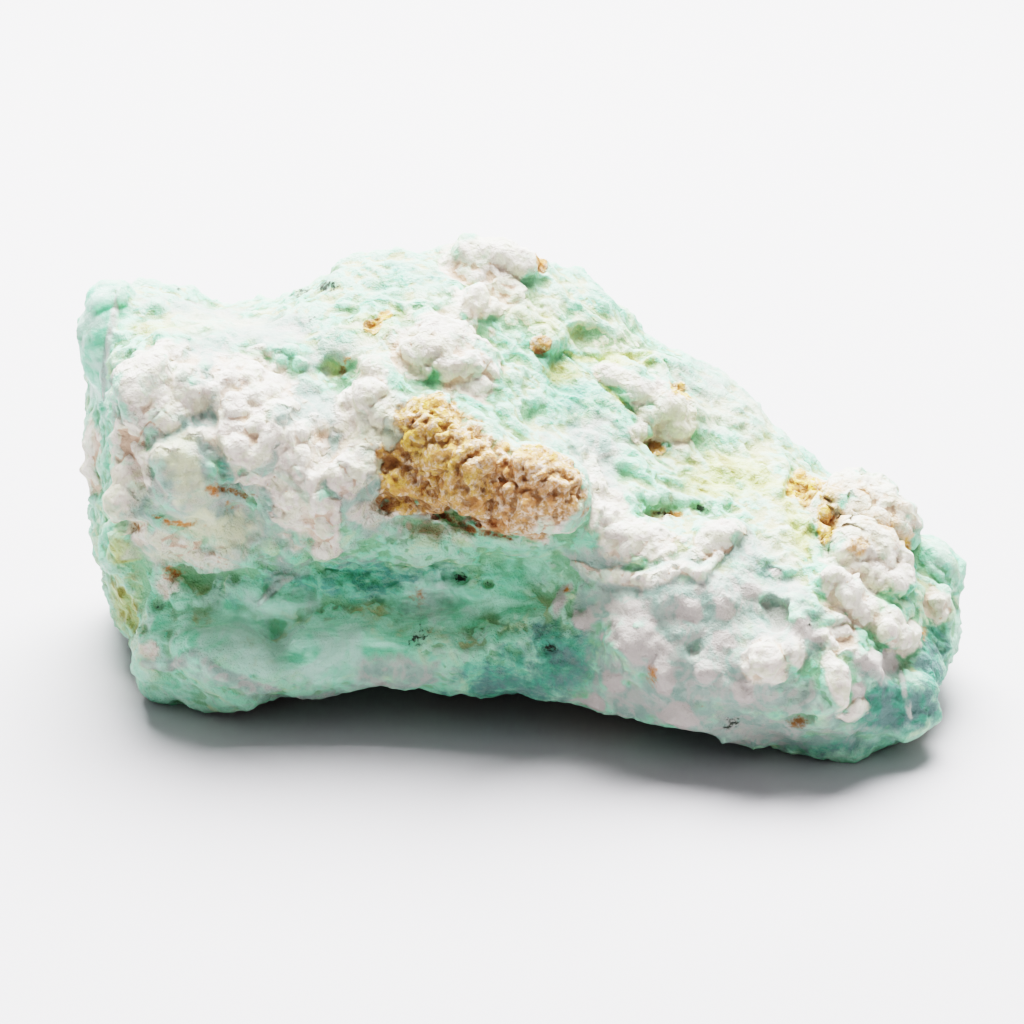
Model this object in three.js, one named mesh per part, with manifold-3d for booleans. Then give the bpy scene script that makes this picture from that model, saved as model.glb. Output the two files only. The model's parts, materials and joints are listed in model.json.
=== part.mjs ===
// A palm-sized lump of raw chrysoprase: green chalcedony under a knobbly white and ochre crust.
// Millimetres, +Z up. The stone lies at rest on z = 0, long side along X, with its crusted front facing -Y.
import * as THREE from "three";
import { ImprovedNoise } from "three/addons/math/ImprovedNoise.js";
import { mergeVertices } from "three/addons/utils/BufferGeometryUtils.js";
import Module from "manifold-3d";

const wasm = await Module();
wasm.setup();

// ---------------------------------------------------------------- driving dimensions

const FRONT_FACETS = 38; // facets of a section from the heel up the front to the ridge
const BACK_FACETS = 20; // facets of a section from the ridge down the back and under to the heel
const RIDGE = 6; // which point of a section is the ridge
const SPAN_STEPS = 40; // measuring steps between two points of a section
const ALONG = 58; // facets from the left face to the right nose
const CAP_RINGS = 7; // rings that close each end
const COARSE_RELIEF = [
  [9, 0.8, 1],
  [4.5, 0.5, 2],
]; // relief of the bare body, in layers of [size, height, seed]
const BACK_RELIEF = [
  [12, 1.8, 5],
  [5.5, 0.9, 6],
]; // what the sides away from the front get on top of that
const FINE_RELIEF = [[2.6, 0.35, 3]]; // relief over the lumps too
const KNOB_RELIEF = 0.16; // height of a knob's own relief, as a share of its size
const KNOB_GRAIN = 0.7; // size of that relief, as a share of the knob's half width
const EASE = 0.4; // how far each easing pass draws a vertex to the middle of its neighbours
const BACK_BLEND = 0.35; // the relief of the back reaches this far round to the front, as a sine
const SHEET_LEAN_DEG = 25; // the sheet that places on the front are drawn on leans back by this much
const SHEET_STANDOFF = 200; // the sheet's distance from the stone
const SWELL_ROOT = 0.75; // a lump swells from this far behind its centre, as a share of its half depth

// The body is lofted over sections that stand across X. Each section runs round from the heel of the front:
// heel, toe, recess, brow foot, brow, crown, ridge, shoulder, back, back foot and sole, as [y, z].
// prettier-ignore
const SECTIONS = [
  [-40.5, [
    [-12, 1], [-13, 7], [-10, 13], [-11, 18], [-12, 28], [-5, 35], [9, 36],
    [17, 30], [20, 17], [17, 2], [2, 1],
  ]],
  [-34, [
    [-14, 0], [-18, 8], [-11, 13], [-15, 20], [-15, 31], [-6, 36.5], [12, 36],
    [20, 29], [23, 16], [19, 1], [2, 1],
  ]],
  [-25, [
    [-16, 2], [-20.5, 8], [-9, 12], [-15, 18.5], [-15, 31], [-5, 36], [13, 34],
    [22, 28], [25, 15], [20, 1], [2, 2],
  ]],
  [-16, [
    [-17, 4], [-20.5, 9], [-8, 13], [-15.5, 19], [-15, 29], [-4, 37], [14, 39],
    [23, 31], [26, 16], [21, 0], [2, 3],
  ]],
  [-6, [
    [-18, 4.5], [-20, 10], [-10, 14.5], [-16, 19.5], [-16, 28], [-4, 36], [14, 41],
    [23, 33], [26, 17], [21, 0], [1, 4],
  ]],
  [4, [
    [-20, 4], [-20, 11], [-15, 17], [-18, 21], [-17, 26], [-6, 30], [14, 39.8],
    [22, 32], [25, 16], [20, 0], [0, 4],
  ]],
  [14, [
    [-22, 3], [-26, 9.5], [-23, 16], [-18, 20], [-13, 22], [-4, 26], [13, 32],
    [20, 26], [23, 14], [18, 1], [0, 3],
  ]],
  [24, [
    [-24, 2], [-28, 9], [-25, 16], [-17, 19], [-9, 21], [-1, 23], [10, 26],
    [16, 21], [19, 12], [15, 1], [-4, 1],
  ]],
  [33, [
    [-24, 1], [-27, 8], [-24, 13], [-19, 16], [-12, 18], [-4, 19], [6, 18],
    [11, 15], [14, 9], [10, 1], [-7, 1],
  ]],
  [41, [
    [-19, 1], [-21, 6], [-18, 9], [-13, 12], [-8, 14], [-3, 15], [2, 14],
    [6, 11], [8, 7], [5, 1], [-7, 1],
  ]],
];
const LEFT_FACE = { centre: [-43.5, 2, 17], lean: 0.22 }; // its lean turns it a little to the front
const LEAN_FADES = 2.5; // sections from the left face on which the lean fades out
const RIGHT_NOSE = { centre: [45.5, -8, 8], lean: 0 };

// Broken faces of the back, ends and underside as [normal, distance].
// What stands beyond one is drawn back to it.
const BREAKS = [
  [[-0.45, 0.89, 0.1], 31],
  [[0.1, 0.75, 0.65], 34.5],
  [[0.5, 0.85, 0.15], 26],
  [[0, 0.7, -0.7], 11.5],
  [[-0.8, 0.5, -0.33], 38.5],
  [[0.8, 0.3, -0.5], 33],
];
const BREAK_FIRMNESS = 0.8; // 1 draws a broken face quite flat

// Lumps on the front, drawn on the sheet: [across, up, half width, half height, half depth, turn, sink].
// Turn is anticlockwise in degrees; sink is how deep the centre lies, as a share of the half depth.
// prettier-ignore
const SWELLS = {
  leftCrust: [
    [-34, 30, 3.4, 3, 3, 0, 0.3], [-35.5, 25.5, 3.8, 4.4, 3.4, 0, 0.4],
    [-37.8, 19.5, 3.4, 4.8, 3.4, 0, 0.4],
    [-35.5, 14.7, 4, 3.2, 3.2, 0, 0.3], [-30, 25.8, 3.6, 4, 2.8, 0, 0.4],
    [-31.5, 18.5, 4.6, 5, 3.4, 10, 0.5],
    [-26.8, 21, 3, 4.4, 2.4, 0, 0.5],
  ],
  middleCrust: [
    [-24.4, 29.6, 5.4, 3, 3, 0, 0.4], [-25.6, 25.6, 3.2, 3, 2.8, 0, 0.4],
    [-23, 21, 3.8, 5.4, 3.8, 12, 0.4],
    [-22, 15.8, 4, 3.2, 3.2, 0, 0.4], [-17.8, 16.2, 4, 3.4, 3.4, 0, 0.4],
    [-18.2, 11.4, 2.4, 3, 2.6, 0, 0.3],
    [-14.2, 18.4, 3, 2.6, 2.8, 0, 0.4], [-13.2, 25.2, 3.4, 5, 3.4, 0, 0.4],
  ],
  upperCrust: [
    [-7.8, 29.6, 4.8, 4.2, 4, 0, 0.4], [-5.4, 34, 4.4, 2.8, 3, 15, 0.5], [-3.8, 29, 3.2, 4, 3, 0, 0.5],
    [-1.8, 40, 6, 2.8, 4.2, -8, 0.4],
  ],
  ochreLump: [[-8, 22.6, 3.6, 3.8, 3.4, 0, 0.3]],
  shell: [[12.4, 26.4, 5.6, 2.8, 3, -24, 0.4], [17.4, 24, 2.8, 3, 2.6, 0, 0.3]],
  crescent: [
    [11.6, 12.4, 3.8, 3.2, 2.8, 0, 0.4], [19.4, 11.6, 4.4, 2.6, 3, 22, 0.3],
    [8, 6.6, 4.6, 1.8, 2.2, -22, 0.4],
    [16.4, 6.4, 5, 1.8, 2.2, 18, 0.4], [22.8, 9.6, 2.6, 2, 2, 40, 0.4],
  ],
  pods: [
    [5.2, 5, 1.9, 2.8, 2, -12, 0.4], [12.8, 2, 3.6, 3.6, 2.6, -30, 0.5],
    [14.9, -2, 2.6, 3.6, 2.4, 15, 0.5],
    [20, -1.4, 2.8, 3, 2.2, 0, 0.5], [17, -5, 3.2, 2.4, 2.4, 0, 0.5], [25, 0.4, 3.8, 3, 3, 8, 0.4],
    [27.2, 5, 2, 2.8, 2, 0, 0.4], [30.6, -2.6, 2.4, 4.8, 2.6, -22, 0.4],
  ],
  rightCrust: [
    [34, 13.4, 5.2, 5.2, 3.8, 0, 0.5], [38, 13.4, 3.6, 4.2, 3.2, 0, 0.5],
    [35.6, 8.8, 4.2, 3, 3.2, -20, 0.5],
    [33.2, -0.2, 4.4, 2, 2.2, -12, 0.4],
    [42, 4.6, 3, 3, 2.8, 0, 0.3], [2.8, 31, 2, 2, 2.2, 0, 0.3],
  ],
  green: [
    [42.2, 8.6, 3.8, 4.4, 3.8, 0, 0.4], [38.6, -4.4, 4.6, 3.6, 3.6, 0, 0.5],
    [-41.4, 32.4, 3.8, 5.8, 4.6, 0, 0.5],
    [-37.6, 35, 5.4, 2.8, 3.8, 0, 0.5], [-42.6, 20, 2.4, 5.8, 3.2, 0, 0.6],
    [-39.4, 10.4, 3.4, 3.2, 3.2, 0, 0.4],
    [-34.8, 4.6, 2.2, 3.2, 2.4, 0, 0.4], [-35.4, -0.2, 4.2, 2.8, 3.6, 15, 0.4],
    [-28, 0.2, 6.6, 3.2, 3.6, -8, 0.5],
    [-16.5, 1.4, 7.6, 3.6, 3.4, 4, 0.5],
  ],
};

// Lumps that stand proud enough to overhang, drawn in the same way.
// prettier-ignore
const KNOBS = [
  [-4, 19.4, 5.4, 4.4, 4.6, -25, 0.2], [2.6, 16.6, 5.4, 4.4, 4.4, -12, 0.1],
  [31.8, 6.6, 4.2, 2.3, 2.8, -35, 0.2],
  [35.8, 3.8, 3.6, 2.4, 2.8, -30, 0.1],
];

// Pits and clefts, drawn in the same way.
// prettier-ignore
const PITS = [
  [-17.2, 28.1, 2.4, 1.8, 3.4, 0, 0], [-7, 14.2, 6, 1.6, 4, 18, 0], [15.2, 14.4, 3, 1.6, 3.4, 8, 0],
  [15.6, 21.6, 3.8, 2, 3.4, 15, 0], [24.6, 5.4, 2, 2.4, 2.4, 0, 0], [-26.4, 13.9, 3.4, 1.4, 2.4, -22, 0],
  [-38.6, 3.6, 2.6, 3.8, 2.4, 0, 0], [-14, 8.4, 11, 2, 4.4, 3, 0],
];

// ---------------------------------------------------------------- sheet

const tilt = THREE.MathUtils.degToRad(SHEET_LEAN_DEG);
const inward = new THREE.Vector3(0, Math.cos(tilt), -Math.sin(tilt));
const sheet = new THREE.Matrix4().makeBasis(
  new THREE.Vector3(1, 0, 0),
  new THREE.Vector3(0, Math.sin(tilt), Math.cos(tilt)),
  inward.clone().negate(),
); // carries a place on the sheet, as across, up and outward, into the stone's frame

// ---------------------------------------------------------------- relief

const noise = new ImprovedNoise();

// Noise of about -1 to 1 that turns over once in `size` millimetres.
function grain(p, size, seed) {
  return 1.6 * noise.noise(p.x / size + seed, p.y / size + 3.7 * seed, p.z / size - seed);
}

// The same shape with shared vertices and nothing but places.
function bareOf(geometry) {
  const bare = geometry.clone();
  bare.deleteAttribute("normal");
  bare.deleteAttribute("uv");
  return mergeVertices(bare, 1e-4);
}

// Moves every vertex of a geometry to where `moved` puts it; `moved` gets the place and the normal there.
function reshape(geometry, moved) {
  geometry.computeVertexNormals();
  const place = geometry.getAttribute("position");
  const normal = geometry.getAttribute("normal");
  const p = new THREE.Vector3();
  const n = new THREE.Vector3();
  for (let i = 0; i < place.count; i++) {
    p.fromBufferAttribute(place, i);
    n.fromBufferAttribute(normal, i);
    place.setXYZ(i, ...moved(p, n).toArray());
  }
  place.needsUpdate = true;
}

// Pushes each vertex in or out along its normal by layers of noise, times what `share` says of the normal.
function roughen(geometry, layers, share = () => 1) {
  reshape(geometry, (p, n) => {
    const push = layers.reduce((sum, [size, height, seed]) => sum + height * grain(p, size, seed), 0);
    return p.addScaledVector(n, push * share(n));
  });
}

// Draws every vertex towards the middle of its neighbours.
function ease(geometry) {
  const place = geometry.getAttribute("position");
  const index = geometry.index.array;
  const sums = Array.from({ length: place.count }, () => new THREE.Vector4(0, 0, 0, 0));
  for (let i = 0; i < index.length; i++) {
    const next = index[i % 3 === 2 ? i - 2 : i + 1];
    sums[index[i]].x += place.getX(next);
    sums[index[i]].y += place.getY(next);
    sums[index[i]].z += place.getZ(next);
    sums[index[i]].w += 1;
  }
  const p = new THREE.Vector3();
  for (let i = 0; i < place.count; i++) {
    const { x, y, z, w } = sums[i];
    p.fromBufferAttribute(place, i).lerp(new THREE.Vector3(x / w, y / w, z / w), EASE);
    place.setXYZ(i, p.x, p.y, p.z);
  }
}

// ---------------------------------------------------------------- body

// The section through the body at station s, 0 at the first section, with more points on its front.
function sectionAt(s) {
  const rails = SECTIONS[0][1].map((_, k) => {
    const line = SECTIONS.map(([x, ring]) => new THREE.Vector3(x, ...ring[k]));
    return new THREE.CatmullRomCurve3(line).getPoint(s / (SECTIONS.length - 1));
  });
  const ring = new THREE.CatmullRomCurve3(rails, true, "centripetal");
  ring.arcLengthDivisions = SPAN_STEPS * rails.length;
  const lengths = ring.getLengths();
  const ridge = lengths[RIDGE * SPAN_STEPS] / lengths.at(-1);
  const front = Array.from({ length: FRONT_FACETS }, (_, i) => (ridge * i) / FRONT_FACETS);
  const back = Array.from({ length: BACK_FACETS }, (_, i) => ridge + ((1 - ridge) * i) / BACK_FACETS);
  return [...front, ...back].map((t) => ring.getPointAt(t));
}

// Rings that shrink from an end section to its centre and round it over.
function capRings(ring, { centre, lean }) {
  const [tipX, tipY, tipZ] = centre;
  return Array.from({ length: CAP_RINGS - 1 }, (_, i) => {
    const t = (i + 1) / CAP_RINGS;
    const bulge = Math.sin((t * Math.PI) / 2);
    return ring.map((p) => {
      const q = p.clone().lerp(new THREE.Vector3(p.x, tipY, tipZ), t);
      q.x = THREE.MathUtils.lerp(p.x, tipX - lean * (q.y - tipY), bulge);
      return q;
    });
  });
}

// Draws a place beyond a broken face back to it.
function broken(p) {
  for (const [way, distance] of BREAKS) {
    const normal = new THREE.Vector3(...way).normalize();
    p.addScaledVector(normal, -BREAK_FIRMNESS * Math.max(0, p.dot(normal) - distance));
  }
  return p;
}

function bodyGeometry() {
  const last = SECTIONS.length - 1;
  const rings = Array.from({ length: ALONG + 1 }, (_, i) => {
    const s = (i / ALONG) * last;
    const lean = LEFT_FACE.lean * Math.max(0, 1 - s / LEAN_FADES);
    return sectionAt(s).map((p) => new THREE.Vector3(p.x - lean * p.y, p.y, p.z));
  });
  const all = [...capRings(rings[0], LEFT_FACE).reverse(), ...rings, ...capRings(rings.at(-1), RIGHT_NOSE)];
  const [leftTip, rightTip] = [LEFT_FACE, RIGHT_NOSE].map(({ centre }) => new THREE.Vector3(...centre));
  const points = [leftTip, ...all.flat(), rightTip];
  const around = FRONT_FACETS + BACK_FACETS;
  const at = (i, j) => 1 + i * around + (j % around);
  const faces = [];
  for (let j = 0; j < around; j++) {
    faces.push(0, at(0, j), at(0, j + 1));
    faces.push(points.length - 1, at(all.length - 1, j + 1), at(all.length - 1, j));
    for (let i = 0; i < all.length - 1; i++) {
      const [a, b, c, d] = [at(i, j), at(i, j + 1), at(i + 1, j + 1), at(i + 1, j)];
      // the shorter diagonal keeps the facets even
      const acrossAC = points[a].distanceTo(points[c]) < points[b].distanceTo(points[d]);
      faces.push(...(acrossAC ? [a, c, b, a, d, c] : [a, d, b, b, d, c]));
    }
  }
  const geometry = new THREE.BufferGeometry().setFromPoints(points);
  geometry.setIndex(faces);
  reshape(geometry, broken);
  roughen(geometry, COARSE_RELIEF);
  roughen(geometry, BACK_RELIEF, (n) => THREE.MathUtils.clamp(BACK_BLEND + n.dot(inward), 0, 1));
  return geometry;
}

// ---------------------------------------------------------------- lumps and pits

// Where the body is first met behind a place on the sheet.
function seen(body, across, up) {
  const from = new THREE.Vector3(across, up, SHEET_STANDOFF).applyMatrix4(sheet);
  const hit = new THREE.Raycaster(from, inward).intersectObject(body)[0];
  if (hit) return hit.point;
  // a place just outside the outline lies abreast of the nearest point of the body
  const place = body.geometry.getAttribute("position");
  const toSheet = sheet.clone().invert();
  const p = new THREE.Vector3();
  const best = { miss: Infinity };
  for (let i = 0; i < place.count; i++) {
    p.fromBufferAttribute(place, i).applyMatrix4(toSheet);
    const miss = Math.hypot(p.x - across, p.y - up);
    if (miss < best.miss) Object.assign(best, { miss, outward: p.z });
  }
  return new THREE.Vector3(across, up, best.outward).applyMatrix4(sheet);
}

// An egg drawn on the sheet and landed on the body: the matrices from and to a unit ball.
function egg(body, [across, up, width, height, depth, turn, sink]) {
  const centre = seen(body, across, up).addScaledVector(inward, sink * depth);
  const fromBall = new THREE.Matrix4()
    .makeTranslation(centre)
    .multiply(sheet)
    .multiply(new THREE.Matrix4().makeRotationZ(THREE.MathUtils.degToRad(turn)))
    .multiply(new THREE.Matrix4().makeScale(width, height, depth));
  return { fromBall, toBall: fromBall.clone().invert() };
}

// Where a line from `from`, inside the unit ball, leaves it along `way`.
function leavesBall(from, way) {
  const d = way.clone().normalize();
  const along = from.dot(d);
  return from.clone().addScaledVector(d, -along + Math.sqrt(along * along + 1 - from.lengthSq()));
}

// Vertices inside the egg swell out onto its near side.
function swell(body, spec) {
  const { fromBall, toBall } = egg(body, spec);
  const heart = new THREE.Vector3(0, 0, -SWELL_ROOT);
  reshape(body.geometry, (p) => {
    const q = p.clone().applyMatrix4(toBall);
    if (q.length() > 1) return p;
    return leavesBall(heart, q.sub(heart)).applyMatrix4(fromBall);
  });
}

// Vertices inside the egg sink onto its far side.
function hollow(body, spec) {
  const { fromBall, toBall } = egg(body, spec);
  reshape(body.geometry, (p) => {
    const q = p.clone().applyMatrix4(toBall);
    if (q.length() > 1) return p;
    return leavesBall(q, new THREE.Vector3(0, 0, -1)).applyMatrix4(fromBall);
  });
}

// A lump of its own, roughened.
function knob(body, spec) {
  const ball = bareOf(new THREE.IcosahedronGeometry(1, 2));
  const [seed] = spec;
  reshape(ball, (p) => p.multiplyScalar(1 + KNOB_RELIEF * grain(p, KNOB_GRAIN, seed)));
  return ball.applyMatrix4(egg(body, spec).fromBall);
}

// ---------------------------------------------------------------- stone

// A closed geometry as a manifold-3d solid.
function solid(geometry) {
  const bare = bareOf(geometry);
  return new wasm.Manifold(
    new wasm.Mesh({
      numProp: 3,
      vertProperties: new Float32Array(bare.getAttribute("position").array),
      triVerts: new Uint32Array(bare.index.array),
    }),
  );
}

// A slab under z = 0, wide and deep enough to hold all of the stone that reaches below.
function ground() {
  const [width, depth] = [200, 50];
  const slab = new THREE.BoxGeometry(width, width, depth);
  slab.translate(0, 0, -depth / 2);
  return solid(slab);
}

// The stone, cut flat where it stands, with the middle of its box over the origin.
function stoneGeometry() {
  const body = new THREE.Mesh(bodyGeometry(), new THREE.MeshStandardMaterial({ side: THREE.DoubleSide }));
  Object.values(SWELLS)
    .flat()
    .forEach((spec) => swell(body, spec));
  PITS.forEach((spec) => hollow(body, spec));
  ease(body.geometry);
  roughen(body.geometry, FINE_RELIEF);
  const joined = KNOBS.reduce((stone, spec) => stone.add(solid(knob(body, spec))), solid(body.geometry));
  const mesh = joined.subtract(ground()).getMesh();
  const geometry = new THREE.BufferGeometry();
  geometry.setAttribute("position", new THREE.BufferAttribute(mesh.vertProperties, 3));
  geometry.setIndex(new THREE.BufferAttribute(mesh.triVerts, 1));
  geometry.computeBoundingBox();
  const middle = geometry.boundingBox.getCenter(new THREE.Vector3());
  geometry.translate(-middle.x, -middle.y, 0);
  geometry.computeVertexNormals();
  return geometry;
}

const rock = new THREE.Mesh(
  stoneGeometry(),
  new THREE.MeshStandardMaterial({ color: 0xcfe6db, roughness: 0.6, metalness: 0 }),
);
rock.name = "chrysoprase";

const group = new THREE.Group();
group.add(rock);
export default group;
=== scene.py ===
"""Raw chrysoprase: a broken lump of apple-green stone with white, milky and ochre crusts.

The stone is one closed piece. It starts as a copy of the CAD solid, knobs and crumbs are set on it,
everything is fused, and the fine relief of each finish is pressed in. Places are given in
millimetres on a sheet that leans back over the front of the stone: across (to the right) and up.
"""
import itertools
import json
import math
import random

import bpy
import numpy as np
from mathutils import Matrix, Vector
from mathutils.bvhtree import BVHTree

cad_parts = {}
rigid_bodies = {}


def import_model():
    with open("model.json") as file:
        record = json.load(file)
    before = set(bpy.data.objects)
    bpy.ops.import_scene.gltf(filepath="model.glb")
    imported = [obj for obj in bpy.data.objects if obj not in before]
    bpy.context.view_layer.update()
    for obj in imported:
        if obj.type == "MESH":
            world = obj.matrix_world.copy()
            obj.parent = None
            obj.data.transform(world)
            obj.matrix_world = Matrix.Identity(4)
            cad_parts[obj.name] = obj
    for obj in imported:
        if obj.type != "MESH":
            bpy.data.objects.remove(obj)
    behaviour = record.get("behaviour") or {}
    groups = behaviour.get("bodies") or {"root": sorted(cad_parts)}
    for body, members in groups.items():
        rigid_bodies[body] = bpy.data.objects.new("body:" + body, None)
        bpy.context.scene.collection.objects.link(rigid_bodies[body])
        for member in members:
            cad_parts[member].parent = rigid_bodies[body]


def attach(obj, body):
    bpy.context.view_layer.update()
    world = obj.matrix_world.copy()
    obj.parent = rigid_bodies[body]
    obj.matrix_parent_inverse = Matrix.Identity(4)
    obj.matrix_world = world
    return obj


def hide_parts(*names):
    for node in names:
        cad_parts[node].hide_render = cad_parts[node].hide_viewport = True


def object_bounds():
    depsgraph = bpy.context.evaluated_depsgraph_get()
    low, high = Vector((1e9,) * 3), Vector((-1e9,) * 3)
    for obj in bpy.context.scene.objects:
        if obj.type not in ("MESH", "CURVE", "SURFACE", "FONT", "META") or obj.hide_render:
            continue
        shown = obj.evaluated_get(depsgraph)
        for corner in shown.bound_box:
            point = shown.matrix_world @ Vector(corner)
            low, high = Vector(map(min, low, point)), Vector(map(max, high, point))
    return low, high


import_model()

CAD_BOX = [list(corner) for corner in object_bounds()]
MM = 0.001
NODE = "chrysoprase"
SEED = 7

# The sheet that the lists below are drawn on.
LEAN = 25    # degrees
SHEET_LEAN = math.radians(LEAN)
SHEET_CENTRE = Vector((-0.589, 0.894, 0)) * MM
ACROSS = Vector((1, 0, 0))
UPWARD = Vector((0, math.sin(SHEET_LEAN), math.cos(SHEET_LEAN)))
OUTWARD = Vector((0, -math.cos(SHEET_LEAN), math.sin(SHEET_LEAN)))
SHEET_TURN = Matrix((ACROSS, UPWARD, OUTWARD)).transposed()
FAR_OUT = 0.2    # m in front of the sheet, where the rays to the stone start

# Steps of the mesh.
ROUGH_VOXEL = 0.55 * MM
FINE_VOXEL = 0.27 * MM
FINAL_TRIANGLES = 195000
SPARING = 5e-5    # how strongly the thinning spares what is often seen
SLACK = 0.9 * MM    # how far the finish may stand out of the CAD box

# Heights of the relief.
MASS_HEIGHT = 1.05    # height of a mass of strength 1, as a share of its smaller half size
POD_HEIGHT = 0.85    # mm, for a pod of strength 1
SETBACK = 0.45    # mm that the whole relief is sunk by, so that it straddles the CAD surface
# The crease attribute leads the material's painted shade in hollows and painted highlight on crests.
LEVEL = 0.5    # what the crease attribute says where the surface is flat; more in a hollow
NEAR_CREASE = (6, 6.0)    # steps of spreading, and how strongly hollows of that width count
FAR_CREASE = (40, 1.5)
BODY_STEPS = 8    # steps of spreading that even the body's normals
STONE_STEPS = 12    # the same for the finely meshed stone
LEAST_WEIGHT = 0.004

# Knobs and crumbs.
PEBBLE_SEEDS = (7, 19, 31, 43)
FLATNESS = 0.72    # thickness of a knob, as a share of its smaller half size
SUNK = 0.15    # taken off the share of a listed knob that stands proud
TUMBLE = 6    # how far a pebble may be tumbled, in radians
CRUMB_SIZES = (0.3, 0.6)    # smallest and largest half size
CHALK_CRUMBS = (700, 0.22)    # how many are strewn there, and their share proud
OCHRE_CRUMBS = (260, 0.45)

# Floor, light and camera.
FLOOR_SIZE = 6
FLOOR_COLOUR = (0.53, 0.52, 0.54, 1)
FLOOR_ROUGHNESS = 0.9
ROOM_COLOUR = (0.98, 0.96, 1.0, 1)
ROOM_STRENGTH = 0.24
SOFTBOX_PLACE = (0.0, 0.235, 0.48)
SOFTBOX_AIM = (0, 0, 0.01)
SOFTBOX_SIZE = 0.50
SOFTBOX_POWER = 8.0
EXPOSURE = 0.7
CAMERA_AIM = (-0.589, 0.894, 16)    # mm
CAMERA_DISTANCE = 294    # mm
FIELD_WIDTH = 106    # mm seen at that distance
SENSOR_WIDTH = 36

# Broad swellings under the brow: across, up, outward, half width, half height, half depth.
BELLIES = [
    (-25, 6.6, 14, 6.5, 4.4, 5.5), (-17, 7.6, 13.2, 8, 4.4, 5.5), (-9, 7.8, 13.8, 7, 4.2, 5.5),
    (-1.5, 7.4, 16, 6, 3.8, 4.4), (-31, 5, 12.5, 5, 4.2, 5),
]

# ---------------------------------------------------------------- places
# Every oval below is (across, up, half width, half height, strength, turn in degrees).
# A strength of 1 and a turn of 0 are left out at the end.

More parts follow.
